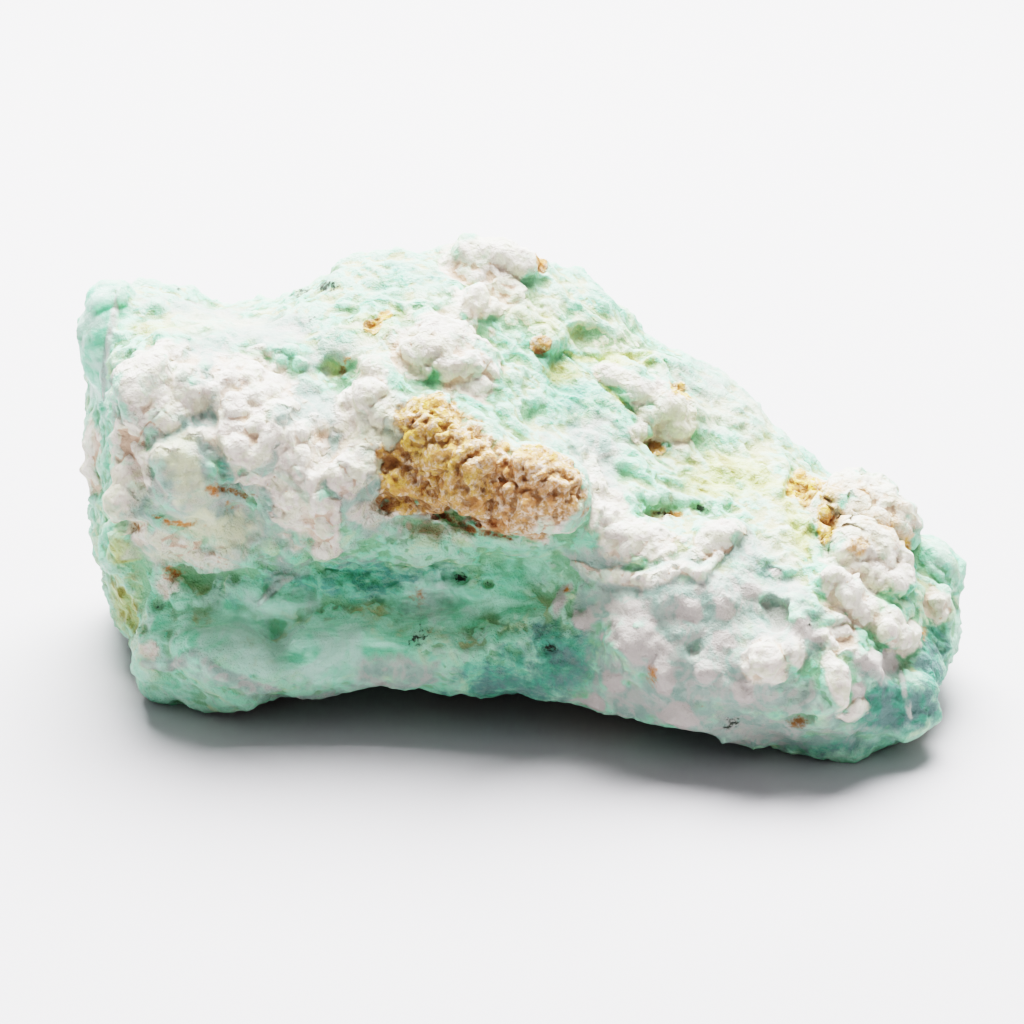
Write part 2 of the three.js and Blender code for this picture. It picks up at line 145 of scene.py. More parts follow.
# Masses of the crusts, raised from the surface. Their strength is how steep they are.
MASSES = {
    "left crust": [
        (-34, 30.9, 1.3, 1.2, 0.5), (-35.2, 28.8, 1.8, 1.7, 0.5), (-36.5, 25.3, 1.8, 3.4, 0.5, 8),
        (-35.1, 22.5, 0.6, 1.7, 0.5), (-37.3, 18.1, 1.8, 1.8, 0.5), (-38.3, 15.7, 1.8, 1.9, 0.5),
        (-33.6, 24, 2.4, 2.2, 0.4), (-32.2, 26.8, 2.4, 2.3, 0.25), (-33.8, 20, 1.4, 1.3, 0.45),
        (-36, 20.4, 1, 1.2, 0.5), (-34.6, 26.4, 0.9, 1, 0.5), (-32.4, 29.7, 1, 0.9, 0.5),
    ],
    "block": [
        (-26.7, 28.9, 0.9, 0.8, 0.6), (-25.3, 30, 0.8, 0.7, 0.6), (-23.8, 30.5, 0.8, 0.7, 0.6),
        (-21.9, 30.5, 0.9, 0.8, 0.6), (-20.9, 29, 0.8, 0.7, 0.6), (-22.9, 29.2, 0.9, 0.8, 0.5),
        (-27.4, 27.8, 1, 1, 0.5), (-24.9, 25.8, 1.3, 1.2, 0.55), (-26.7, 24.8, 1.5, 1.4, 0.5),
        (-23.1, 26.9, 1.1, 1, 0.5), (-22.3, 23.8, 1.3, 1.2, 0.5), (-24.7, 22.9, 1, 0.9, 0.5),
        (-26.6, 20.9, 1.3, 1.2, 0.5), (-24.4, 19.5, 1.5, 1.4, 0.5), (-25.3, 17.8, 1, 0.9, 0.5),
        (-28.9, 25.3, 0.8, 1.4, 0.5), (-25.4, 27.9, 1.1, 1, 0.5), (-23, 21.5, 1.2, 1.4, 0.5),
    ],
    "pinnacle": [
        (-20.2, 22.4, 0.8, 1.3, 0.6), (-20.2, 20, 0.8, 1.2, 0.6), (-21.8, 19.5, 0.7, 0.7, 0.5),
        (-20.4, 18.4, 0.8, 0.7, 0.6), (-22.1, 17.8, 0.6, 0.6, 0.5), (-23.4, 16.6, 0.8, 0.7, 0.5),
        (-21.4, 15.7, 0.8, 0.7, 0.6), (-23, 14.2, 0.8, 0.7, 0.5), (-21.5, 13.7, 0.8, 0.7, 0.6),
        (-18.3, 15.2, 1, 1.2, 0.5), (-18.4, 12.8, 0.9, 1.2, 0.5), (-18.3, 10.6, 0.8, 1.2, 0.5),
        (-20.7, 11.8, 0.9, 0.8, 0.5), (-19.6, 17, 0.7, 0.8, 0.5),
    ],
    "middle": [
        (-13.3, 28.3, 1, 1, 0.6), (-14.3, 25.9, 1.9, 1.8, 0.5), (-12.3, 23.9, 1.4, 1.4, 0.5),
        (-15.6, 19, 1.4, 1.2, 0.5), (-14.2, 20, 1, 1, 0.5), (-16.6, 17.6, 1.2, 1.2, 0.5),
        (-10.8, 25.3, 0.8, 0.8, 0.5), (-12.8, 21.5, 1.2, 1.2, 0.5), (-7.4, 30.9, 1.6, 1.1, 0.5),
        (-9.5, 30.4, 1.7, 1.6, 0.45), (-6.1, 37, 1.1, 1.1, 0.5), (-3.7, 35.8, 1.2, 1.2, 0.5),
        (-6.1, 32.5, 3, 1.2, 0.4), (-6.1, 28.4, 2, 1.2, 0.5), (-3.6, 29.4, 1.4, 1.2, 0.5),
        (-3.1, 27, 1.3, 1, 0.5), (-8.1, 33.6, 1.6, 1, 0.4), (-5.2, 34.4, 1.2, 1, 0.4),
    ],
    "top": [
        (-1.6, 41.2, 2.2, 1.8, 0.45), (0.9, 39.8, 1.8, 1.5, 0.5), (-4.4, 41.2, 1.8, 1.6, 0.45),
        (-41, 36.6, 2.6, 1.8, 0.5), (-38, 37.4, 2.4, 1.4, 0.4), (-3.4, 38.8, 2.6, 1.6, 0.35, -20),
        (-0.6, 37.4, 2, 1.4, 0.35, -20),
    ],
    "ochre": [
        (-7, 25.3, 1.2, 1.1, 0.5), (-8, 23.2, 1.5, 1.4, 0.4), (-5.5, 22.8, 0.8, 0.8, 0.6),
        (-4, 19.4, 2.4, 1.8, 0.3, -12), (1.7, 18.3, 1.8, 1.6, 0.4), (4.6, 17.6, 1.5, 1.5, 0.4),
        (-10.8, 17.4, 1.2, 1.6, 0.4), (-1.2, 16.4, 2, 1.4, 0.3), (5.4, 14.9, 1.4, 1.4, 0.4),
        (2.6, 15, 1.8, 1.2, 0.3), (-7.4, 19.8, 1.4, 1.3, 0.4), (2.9, 31.3, 1.2, 0.9, 0.4, 15),
        (-4.6, 16.6, 2.8, 1.9, 0.45, -20), (-0.8, 14.2, 3, 1.7, 0.45, -12), (-9.2, 17.4, 1.6, 1.4, 0.5),
        (-9, 21, 1.5, 1.6, 0.4), (-7.4, 16.4, 2.2, 1.8, 0.5),
    ],
    "ring lumps": [
        (12.7, 11.8, 3, 2, 0.3), (9.5, 14.5, 1.1, 1.2, 0.4), (19.7, 11.8, 2.5, 1.5, 0.45, 35),
        (15.9, 13, 1.3, 1.3, 0.5), (13.6, 15.7, 0.8, 0.8, 0.5), (10.4, 12.6, 1.2, 1, 0.4),
        (14.9, 10.6, 1.4, 1.1, 0.4), (17.8, 10.4, 1.2, 0.9, 0.4, 20),
    ],
    "shell": [
        (10.6, 28, 2.8, 1, 0.45, -20), (13.6, 26.8, 3, 1.7, 0.4, -20), (15.8, 25.4, 2.2, 1.8, 0.45, -30),
        (16.3, 22.8, 1.9, 1.5, 0.5), (12.8, 22.5, 1.2, 0.9, 0.6), (14.4, 24.4, 1.8, 1.2, 0.4),
        (16.6, 20.6, 1.6, 1.1, 0.4), (11, 20.6, 1.4, 1, 0.4),
    ],
    "right crust mass": [
        (35.2, 13.4, 5.8, 5.4, 0.4), (33.4, 16.2, 2.6, 2.2, 0.4), (37.6, 15, 2.2, 2, 0.35),
        (33.4, 12.2, 2.4, 2.2, 0.4), (36.6, 11, 2.6, 2, 0.4), (38.2, 8, 1.8, 1.6, 0.45),
        (35.6, 8.6, 2, 1.6, 0.45), (32, 17.8, 1.6, 1.2, 0.4), (39.8, 12.2, 1.4, 1.8, 0.4),
        (31.6, 3.4, 1.2, 1.4, 0.4), (31, -1.6, 1.3, 3.2, 0.6, 14), (33.2, -4.4, 1.6, 1.2, 0.5, 30),
    ],
    "foot lumps": [
        (-35.2, 7.8, 1.2, 1.6, 0.6), (-33.2, 6.4, 1.2, 1.5, 0.6), (-30.6, 9.6, 2, 1.4, 0.5),
        (-27.4, 10.2, 2.2, 1.4, 0.5), (-38.6, 11.2, 1.6, 1.2, 0.5), (-24.6, 11, 1.8, 1.2, 0.4),
    ],
    "slope lumps": [
        (24.6, 28.4, 2.2, 1.6, 0.4), (21.6, 30.6, 1.8, 1.3, 0.4), (27.6, 25.2, 1.8, 1.4, 0.4),
        (22.4, 24.6, 1.8, 1.5, 0.3), (6, 35, 3.6, 1.2, 0.3, -20), (20, 22.6, 3, 1.2, 0.3, -20),
        (11, 33, 3.4, 1, 0.35, -20), (14, 31, 3.2, 0.9, 0.35, -10), (7.6, 21.4, 3.4, 1.2, 0.4, -15),
        (12, 19, 2.6, 1, 0.4, -20), (22, 16, 3.2, 1, 0.4, -12),
    ],
}

# Knobs set on the stone. Their strength is the share that stands proud.
KNOBS = {
    "chunk": [
        (24.3, 0.4, 1.7, 1.5, 0.5, 10), (26.5, 1.2, 0.9, 1.1, 0.5),
    ],
    "right crust": [
        (33.2, 9.6, 2.5, 1.7, 0.5), (31, 8.4, 1.6, 1.3, 0.4), (32.4, 6.6, 2, 1.3, 0.5, -35),
        (34.2, 4.6, 2, 1.3, 0.5, -35), (36.4, 3.3, 1.5, 1.2, 0.5), (38.9, 2.1, 1.7, 1.7, 0.6),
        (32.4, 2.4, 2, 1.1, 0.5, -8), (36.9, 6.9, 1.9, 1.8, 0.4), (38.3, 5, 1.2, 1, 0.5),
        (42.3, 5.5, 1, 1.1, 0.6), (43, 4.2, 0.7, 0.7, 0.6), (30.5, 1.4, 1, 1.5, 0.4),
    ],
}

# Holes and slits. Their strength is their depth.
HOLLOWS = [
    (-17.9, 28.7, 1.4, 1.2, 0.5), (25.3, 4.9, 1.1, 1.6, 1.1), (17.4, 1.6, 0.8, 0.8, 0.7),
    (3.7, 1.2, 0.9, 0.8, 0.8), (14.1, 21.3, 1, 0.7, 0.5, 20), (27.8, -5.7, 1.4, 0.8),
    (-24, 7.1, 0.9, 1.1, 0.8), (-21.5, 6.6, 2.6, 0.9, 0.9), (-12.5, 8, 7.5, 1, 0.6, -3),
    (-35.4, 5.2, 0.5, 0.5, 0.6), (-37.4, 13, 2.6, 0.8), (-12.3, 15.2, 1.4, 1), (-5, 8, 0.8, 0.6, 0.8),
    (-2.4, 7.4, 0.6, 0.5, 0.7), (38.5, 15.2, 0.9, 0.8, 0.7), (38.2, 10.9, 1.1, 0.5, 0.6),
    (2.8, 30.4, 1, 0.5, 0.4), (4.9, 29.9, 0.9, 0.8, 0.3), (-0.2, 29.2, 0.9, 0.8, 0.5),
    (1.8, 27.2, 1, 0.8, 0.5), (18.7, 14.9, 1.2, 0.7, 0.8), (-39.4, 8.2, 2, 1.5, 0.6),
    (-39.2, 3.4, 1.8, 2.2, 0.6), (-1.2, 36.8, 2, 0.8, 0.6, 10), (29.2, 16.7, 0.8, 0.8, 0.6),
    (-35.8, 31.1, 0.7, 1.2, 0.6), (-4.9, 23.2, 0.6, 0.9, 0.5), (-11.8, 19.2, 0.8, 0.8, 0.6),
    (-30.5, 24, 0.6, 1.6, 0.5),
]

# Pods: smooth round swellings of the milky mass. Their strength is their height.
PODS = [
    (4.7, 5.7, 0.9, 1.9, 0.9, -20), (6.6, 3.9, 1.1, 0.9, 0.7), (12.1, 2.2, 3.1, 2.6, 0.8, -20),
    (14.2, -0.4, 1.3, 1.8, 0.6, 25), (10.1, -2.3, 1.5, 1.1, 0.6, 15), (14.7, -1.8, 1.3, 0.9, 0.5),
    (18.4, -0.9, 1.3, 1.2, 0.7), (21.9, -2.9, 0.9, 1.2, 0.6, 20), (15.9, -5.3, 1.9, 1.4, 0.7),
    (8.3, -4.3, 2.2, 1.2, 0.4), (20.4, 5.5, 1.3, 1.2, 0.6), (17.1, 5.1, 1.4, 1.3, 0.5),
    (24.2, 0.7, 1.9, 1.7, 0.7, 10), (26.4, 1.3, 1, 1.2, 0.7), (22.5, -3, 0.7, 1.2, 0.6, 15),
    (33.1, -2.8, 1, 1.1, 0.5), (35.3, 0.3, 2.7, 1.1, 0.6, -8), (29.7, 2.8, 0.8, 0.7, 0.5),
    (27.4, 3.9, 1.2, 1.3, 0.6), (23, 7, 1.6, 0.9, 0.5, -20), (20.5, 2.2, 1.3, 1, 0.4),
    (-31.2, 18.6, 3.4, 4, 0.25, 10), (-28.9, 14, 1.5, 1.2, 0.7), (-33.9, 13.2, 1.4, 1, 0.6),
    (-18.4, 22.9, 2.4, 2.2, 0.4), (10.9, 5.4, 1.6, 1, 0.3), (25.6, 8.6, 1, 0.7, 0.4),
]

# Lines of each finish: half width, height in mm, and the places (across, up) that it runs through.
STROKES = {
    "chalk": [
        (0.9, 0.55, ((5.9, 9.6), (8.1, 8.4), (10.5, 8.1), (13.3, 7.9), (16.2, 9.1), (18.1, 8.4),
                     (20.4, 10.3))),
        (0.5, 0.4, ((-12.4, 13.8), (-10.4, 14.9), (-8.6, 14.6), (-7, 13.6))),
        (0.6, 0.4, ((6.9, 20.6), (8.8, 17.4), (8.6, 14.2))),
    ],
    "milk": [
        (0.9, 0.45, ((-37.1, -0.6), (-33.9, -0.9), (-31.3, 0.3), (-28.8, -1.4), (-25.7, -2.7),
                     (-22.9, -3.1))),
        (0.7, 0.3, ((-24.8, -3.9), (-22, -4.2), (-18, -3.6), (-12.9, -2.5), (-9.4, -2.7))),
        (0.6, 0.5, ((-25.2, 5.2), (-23.1, 7.6), (-20.5, 8.9))),
        (0.6, 0.4, ((-39.8, 36.4), (-40.1, 32.8), (-40.9, 28.8), (-41.3, 25.8))),
        (0.4, 0.3, ((37.9, -0.9), (38.1, -3.2), (38.8, -5.7))),
    ],
    # Grooves in the dark teal: the first runs down the gully between the left crust and the block, the
    # second along the recess under the brow; in both the dark teal is painted shade.
    "deep": [
        (1, -0.8, ((-29.7, 25.8), (-28.8, 22.4), (-27.9, 19), (-26.3, 16.6))),
        (0.5, -0.4, ((-18.6, 9), (-13.5, 8.3), (-9.3, 6.6), (-6.2, 5.9))),
    ],
    "lime": [
        (0.6, -0.6, ((5.4, 30.9), (6.9, 30), (10, 30.3), (13.2, 30.8), (14.8, 31.1))),
        (0.35, -0.5, ((8.3, 28.4), (9.8, 26.8), (11.3, 25.3), (12.6, 23.9))),
        (0.6, -0.6, ((28.7, 18.8), (27.4, 15.7), (28.4, 11.7), (29.3, 9.6))),
        (0.7, -0.3, ((17.5, 19), (21, 18.2), (24.5, 17.4), (27.5, 17.6))),
        (0.6, -0.4, ((19.5, 20.6), (22.5, 19.8), (26, 19))),
    ],
    "rust": [
        (0.4, -0.4, ((-35.2, 14.2), (-33.4, 13.5), (-31.9, 13.2), (-30.4, 13.7))),
    ],
    "brown": [
        (0.4, -0.8, ((-28.2, 16.8), (-26.4, 16.4), (-24.9, 15.1))),
        # This line runs along the undercut beneath the ochre lump; there the brown is painted shadow.
        (0.55, -0.5, ((-12.9, 14.4), (-10.9, 15.8), (-9, 15.6), (-6.4, 14), (-3.6, 12.6), (0.7, 11.8))),
    ],
}

# How soft the edge of each finish is, and how far it wanders.
EDGE = {
    "chalk": 0.35, "curd": 0.6, "milk": 0.6, "deep": 0.6, "bottle_green_and_shade": 0.6, "glass": 0.7, "lime": 0.7,
    "cream": 0.7, "ochre": 0.3, "gold": 0.6, "rust": 0.7, "brown": 0.7, "soot": 0.7,
}
WANDER = {
    "chalk": 1.0, "curd": 1.7, "milk": 1.2, "deep": 1.2, "bottle_green_and_shade": 1.2, "glass": 1.4, "lime": 1.2,
    "cream": 1.4, "ochre": 0.8, "gold": 1.0, "rust": 0.8, "brown": 0.8, "soot": 0.8,
}

# Where each finish lies. The strength is how fully it covers.
PATCHES = {
    "chalk": [
        (-35, 26.3, 3.2, 5.2, 1, 5), (-37, 19.6, 2.7, 4.4), (-38.3, 15.7, 2, 2.4), (-33.9, 30.3, 2, 1.5),
        (-32.2, 26.8, 2.7, 3.4, 0.9), (-25, 27.3, 4.2, 3.6), (-25.3, 22.4, 3.4, 5.4), (-20.6, 17.6, 3, 6.4),
        (-18.1, 13, 1.7, 4.4), (-14.3, 25.2, 2.8, 4.4), (-15.6, 18.4, 2.3, 2.7),
        (-6.6, 31.9, 5.2, 3.2, 1, 8), (-3.7, 35.8, 2.6, 2), (-3.6, 27.9, 3.2, 2.5), (-9.5, 30.4, 2.5, 2.5),
        (-1.2, 41.1, 4.7, 2.1), (1.7, 13.3, 3.5, 1.8, 0.8), (7.8, 17.6, 0.9, 3.2, 0.7),
        (12.4, 11.8, 4.5, 2.4), (19.7, 11.8, 2.8, 1.7, 1, 35), (9.5, 14.5, 1.8, 2, 0.9),
        (24.3, 0.2, 2.3, 2.1, 0.9), (27.1, 0.9, 1.2, 1.5, 0.8), (35.6, 14.2, 5, 4.8), (33.2, 9.6, 3, 2.2),
        (33, 6, 3.8, 2.3, 1, -35), (36.6, 3.4, 2.6, 1.8), (39.1, 2, 1.8, 1.8), (42.3, 5.3, 1.3, 1.8),
        (31.9, 2.5, 2.2, 1.4, 0.9), (10.6, 28.1, 3, 1.1, 1, -20), (13.8, 26.8, 3.2, 1.7, 0.9, -20),
        (16, 25.2, 2.4, 1.9, 0.9, -30), (16.3, 22.8, 2.1, 1.9, 0.9), (12.8, 22.5, 1.4, 1.1, 0.8),
        (14.6, 24.2, 2, 1.4, 0.6), (-3.4, 38.9, 3.4, 2, 1, -15), (-0.6, 37.4, 2.4, 1.7, 1, -20),
        (33, 17.4, 3.2, 2.2), (33.4, 12.6, 3, 3), (37.9, 9.4, 3, 3), (35.4, 8.4, 2.6, 2.2),
        (39.6, 12.6, 1.8, 2.6), (35.4, 11.4, 4.6, 2.4), (30.8, 14.6, 1.6, 2.6, 0.7),
        (31, -1.6, 1.2, 3.2, 0.9, 14), (33.2, -4.4, 1.4, 1.2, 0.8, 30), (-33.6, 11.4, 4.6, 1.4, 0.7, -10),
        (-30.2, 9.8, 3, 1.2, 0.7, -10), (-34.4, 7.2, 1.6, 2, 0.7), (-37, 12.6, 2.6, 1.6, 0.8),
        (-14, 14.4, 2.2, 1.4, 0.6), (-7, 12.6, 4, 0.9, 0.5, -8), (-43.6, 20.5, 1.8, 4, 0.8),
        (-36.2, 0.9, 1.2, 1, 0.7), (24.8, 28.2, 2.4, 1.8, 0.5),
    ],
    "cream": [
        (-32.6, 19.6, 2.4, 3, 0.8, 20), (-30.8, 16.4, 2.8, 2.2, 0.7, -20), (2, 34.5, 5, 3, 0.9, -25),
        (9.5, 31.8, 5.5, 1.8, 0.9, -20), (15, 24.8, 3, 2, 0.8, -20), (24.5, 19, 6, 3, 0.7, -15),
        (-14, 30, 4, 3, 0.6), (-8.5, 36, 4, 2, 0.6, 10), (-31, 33.6, 6, 1.6, 0.6),
        (27, 13.5, 2.4, 5, 0.7, 10), (-33, 10.5, 5, 2, 0.7), (22.5, 25, 4, 3, 0.6, -20),
        (-39, 16, 2, 4, 0.7), (-12, 20.5, 2.6, 5, 0.8), (35.2, 14.2, 5.2, 4.6, 0.8),
        (16.2, 23.4, 3, 3, 0.9), (-30, 12.8, 5, 2.4, 0.8), (-30, 3.5, 3, 1.6, 0.4),
        (17.5, 19.5, 5, 1.6, 0.7, -10),
    ],
    # Dark bottle green: partly the stone's own colour, partly painted shade on the lower faces and the
    # right end.
    "bottle_green_and_shade": [
        (36.6, -4.8, 5.4, 3.1), (41.3, -0.6, 2.5, 4, 0.9), (-0.2, -3, 5.9, 2.5, 0.6),
        (4.7, 0, 4.4, 3.4, 0.7), (31, -8, 6, 1.6, 0.8, -5), (24.8, 9, 2.6, 1.4, 0.6, -20),
        (28.5, 5.6, 1.6, 3, 0.6, 10),
    ],
    "milk": [
        (-29.4, 14.6, 5.6, 3), (-34.5, 11, 4, 3, 0.9), (-8.2, 5.2, 3.6, 1.6, 0.5, 10),
        (-31.7, 35.1, 5.6, 2, 0.8), (-24.6, 32.6, 5.5, 2.2, 0.9), (-31.9, 18.5, 3.7, 4.1),
        (-18.4, 22.9, 2.6, 2.8), (-30.3, 10.3, 5, 2, 0.7), (-9, 14.7, 3.4, 1.2, 0.8), (18, 5.1, 11.6, 6.8),
        (12.3, 6, 6.8, 3.2), (8.6, 9.8, 3.9, 2, 0.9), (-25.8, -3.2, 6, 1, 0.6, -18),
        (-11, -1.2, 4.5, 1.6, 0.8), (-30, 9.6, 4.5, 1.8, 0.5), (21.5, 26.1, 6.2, 4.7, 0.6),
        (8.6, 17.6, 2, 4, 0.9), (22.1, -6.1, 6.8, 2.2), (12.4, -3.7, 5.9, 2.4), (35.4, -0.4, 3.4, 1.4, 0.9),
        (22.6, 10.8, 3, 2, 0.9), (18, -2, 11, 5, 1, -12), (20, -2.5, 8.5, 3.6), (30.5, -6.5, 5, 2.2, 0.6),
        (27, 2.5, 3.5, 3, 0.8), (7.2, 21.8, 4.6, 2.6, 0.8), (-30, 30.5, 4, 2.5, 0.7), (-31, 24, 9, 9, 0.9),
        (-12, 21.5, 4, 6, 0.9), (-17, 30.5, 4.5, 1.4, 0.7), (-21, 21, 9, 11, 0.9), (-14, 17, 5, 6, 0.8),
        (-37, 16, 4.5, 5, 0.8), (0, 14.5, 9, 2, 0.6), (7.5, 19.5, 3, 4, 0.7), (-25, 12.5, 8, 2, 0.7),
    ],
    # The dark teal is partly the stone's own colour; in the recess under the brow and in the gully beside
    # the block it is painted shade.
    "deep": [
        (-13.4, 7.2, 11, 2.6, 0.8), (-17.9, 1.9, 8.9, 3, 0.3), (4.7, 0.5, 4.4, 3.9), (-0.2, -3, 5.9, 2.5),
        (-35, -4.5, 5, 1.6, 0.4), (7.3, 26, 3.9, 2.3, 0.6), (-28.3, 5.7, 4, 3, 0.5),
        (-42.3, 27.9, 1.8, 5.1, 0.3), (-41, 36, 2.6, 2.6, 0.3), (-9.5, 38.4, 4.5, 1.3, 0.6, -20),
        (-13, 37, 3, 1.2, 0.5, -30), (-29.5, 21.4, 0.8, 4.4, 0.8), (24.1, 8.4, 2.5, 1.2, 0.8),
        (17.8, 16.7, 3, 1.5, 0.5), (-40, 4, 2.5, 4.5, 0.5),
    ],
    "glass": [
        (-28.5, 2.2, 9.5, 3.6, 1, -6), (-17, 1.6, 7.5, 3.6), (-9, 4, 6, 2.2, 0.8, 8),
        (-1, 5.6, 6.5, 2, 0.8, 8), (-33, 5.6, 4, 1.6, 0.7), (-34, -3, 5, 2, 0.6, -8),
        (-8, 5.2, 7, 2.4, 1, 8), (2.5, 8.4, 5, 2.2, 0.8), (-23, 5.4, 7, 1.6, 0.7),
        (36.5, -7.4, 4, 1.2, 0.5), (-42.3, 28.4, 2.4, 6), (-41.6, 34.6, 3, 3.4),
    ],
    "lime": [
        (-39.4, 5, 2.7, 4.3, 0.9), (-38.6, 10.5, 2.2, 1.7), (23.5, 17.7, 5.3, 3.1),
        (18.9, 17.7, 4.1, 2.5, 0.7), (-13.6, 33.4, 3.4, 2.2, 0.8), (5.4, 28.7, 2.3, 1.4),
        (10, 30.1, 5.2, 0.9, 0.9), (-35.2, 32.9, 3.4, 0.9, 0.8), (-26.7, 0.5, 3, 2, 0.3),
        (4.9, 33, 3.1, 1.6, 0.7), (13.6, 21.6, 1.6, 1.2, 0.9), (-8.1, 14.2, 4.5, 1, 0.7),
        (26, 21.5, 3, 2, 0.5, -20), (28.6, 12.6, 1.6, 4, 0.9), (3, 33.6, 4, 1.4, 0.6, -25),
        (-17.8, 28.6, 1.5, 1.4),
    ],
    "ochre": [
        (-7.9, 23.3, 3.3, 2.9), (-5.9, 19.3, 6, 3.7, 1, -8), (3.1, 17.5, 4.2, 3.8, 0.8),
        (-10.8, 16.8, 2.3, 2.7), (0.8, 15.6, 5.8, 2.3, 0.8), (29.7, 16.7, 1.8, 2.5),
        (30.8, 12.7, 0.5, 2, 0.9), (2.9, 31.3, 1.2, 1), (3, 40, 0.7, 1.3), (-12.6, 34.1, 0.9, 0.6, 0.9),
        (-13.7, 33, 0.9, 0.9, 0.9), (14.8, 20.8, 1.2, 0.8, 0.8), (-4.6, 16.6, 4.6, 2.6, 1, -20),
        (-0.8, 14, 4, 1.8, 0.9, -12), (-9.6, 18, 2.4, 2.6), (-10.6, 15.6, 2, 1.6, 0.9),
        (-7.6, 16.2, 2.8, 2.2), (-1, 17.6, 3.4, 2.6), (31, 13.6, 0.9, 3.2), (36.6, 12.9, 2, 1.4, 0.6),
        (38.8, 15.2, 1.7, 1.6, 0.9), (38.2, 10.8, 2, 1.1, 0.9), (33.6, 11.2, 2, 1.2, 0.6),
        (34.2, 15.8, 1.8, 1.4, 0.6), (34.8, 14.2, 3.8, 3.8, 0.42), (38.4, 12.8, 2, 3.8, 0.45),
        (16.7, 26.9, 1.6, 1.1, 0.8), (32.2, 15, 1.6, 3.4, 0.6, 10),
    ],
    "gold": [
        (-8.6, 22.5, 3.2, 4), (-10.9, 17, 2.2, 3), (-6, 17.2, 4, 1.8, 0.7, -10), (-12.6, 34.1, 1.2, 0.9),
        (-13.7, 33, 1.2, 1.2), (29.7, 16.4, 2.2, 3), (31, 13.6, 1.4, 3.6), (38.8, 15.2, 2, 1.8),
        (38.2, 10.8, 2.2, 1.4), (14.8, 20.8, 1.4, 1), (16.7, 26.9, 1.8, 1.3), (2.9, 20.5, 3, 1, 0.6, -10),
        (-7.6, 19, 5, 3.4, 0.8, -20), (-10.6, 15.6, 2.4, 1.8),
    ],
    "rust": [
        (-28.8, 16.6, 0.8, 0.8), (-31.9, 13.2, 3, 0.6, 0.5), (-20, 12, 1.2, 2.6, 0.35),
        (-34, 8.5, 1.3, 0.9), (-9.2, 6.2, 1.2, 1, 0.6), (5.4, 6.8, 0.5, 0.6, 0.9),
        (13.4, -1.2, 0.7, 1.4, 0.8), (30.4, 18.5, 0.8, 0.8), (40.7, 2.6, 1, 0.8, 0.9),
        (36.8, 2, 0.8, 0.6, 0.7), (2.9, 40.1, 0.8, 0.8), (-12.4, 34.4, 0.6, 0.5, 0.8),
        (-13.6, 33.3, 0.8, 0.8, 0.6), (-16.3, 29.3, 0.6, 0.8, 0.9), (16.2, 14.1, 1.2, 0.5, 0.9),
        (15.8, 26.4, 1, 0.8, 0.7), (18, 7.2, 1.4, 0.5, 0.5, 15), (18.1, -4.1, 1, 0.5, 0.6),
        (36.6, 12.9, 1, 1, 0.5), (33.3, 13.2, 1.2, 0.5, 0.6), (-1.2, 13.2, 1.2, 1, 0.9),
        (1.7, 19.7, 1.2, 0.8, 0.7), (5.5, 17.1, 1.2, 1, 0.6), (3.4, 16.9, 1, 1, 0.7),
        (-27.5, 15.2, 1.4, 0.8, 0.7), (-35.8, 31.1, 0.7, 1.2, 0.6), (-26.5, 27.8, 1.6, 1, 0.4),
        (-20.5, 13.7, 2, 1.6, 0.4),
    ],
    "soot": [
        (-35.4, 5.2, 0.4, 0.4), (-21.8, 37, 1.6, 0.8, 0.8), (-18.8, 37.5, 1.4, 0.8, 0.9),
        (-16.1, 33.8, 0.6, 0.5, 0.8), (-19.9, 33.9, 0.6, 0.5, 0.8), (-37.1, 36.7, 0.6, 0.5, 0.7),
        (-34.9, 37.6, 0.6, 0.5, 0.7), (-31.4, 35.4, 0.5, 0.4, 0.7), (-5, 8, 0.8, 0.6),
        (-2.4, 7.4, 0.5, 0.5), (-9, 2.3, 1.4, 1.4, 0.7), (3.7, 1.2, 0.8, 0.7), (14.8, 14.2, 0.9, 0.5, 0.8),
        (18.7, 14.9, 1, 0.6), (21.1, -6.1, 1.2, 1, 0.8), (26.1, 8.7, 0.5, 0.4, 0.7),
        (28.7, 3.9, 0.6, 0.5, 0.7),
    ],
    "brown": [
        (27.8, -5.7, 1.3, 0.7), (29.2, 16.7, 0.8, 0.8, 0.7), (29.1, 15, 0.7, 0.7, 0.7),
        (38.5, 15.2, 0.9, 0.8, 0.8), (38.2, 10.9, 1.1, 0.5, 0.8), (2.8, 30.4, 1, 0.5, 0.7),
        (-12.3, 15.2, 1.2, 1), (-11.8, 19.2, 0.9, 0.8, 0.9), (-4.8, 23.7, 0.7, 0.6, 0.9),
        (-5, 22.4, 0.6, 0.6, 0.7), (-26.5, 16.4, 2.5, 0.4, 0.9, -10), (-37.4, 13, 2.6, 0.7, 0.9),
        (13.9, 21.3, 0.9, 0.6, 0.7, 20), (14.4, 14.2, 1.6, 0.7, 0.7), (-16.6, 28.4, 0.6, 1, 0.8),
        (0.8, 16.4, 1.2, 0.8, 0.6), (3.6, 18.4, 1, 0.8, 0.6),
    ],
}


def oval(place):
    """Across, up, half width, half height, strength and turn of a place in the lists."""
    return place + (1, 0)[len(place) - 4:]


# The pods on the right are curdled.
CURD_COVER = 0.9
RIGHT_PODS = [oval(pod) for pod in PODS if pod[0] > 0]
PATCHES["curd"] = [(*pod[:4], CURD_COVER, pod[5]) for pod in RIGHT_PODS]


# ---------------------------------------------------------------- helpers
def only(*things):
    """Select these objects and nothing else; the last one is the active one."""
    bpy.ops.object.select_all(action="DESELECT")
    for thing in things:
        thing.select_set(True)
    bpy.context.view_layer.objects.active = things[-1]


def finish_modifier(thing, kind, **settings):
    """Add one modifier with these settings and apply it."""
    only(thing)
    modifier = thing.modifiers.new(kind.lower(), kind)
    for name, value in settings.items():
        setattr(modifier, name, value)
    bpy.ops.object.modifier_apply(modifier=modifier.name)


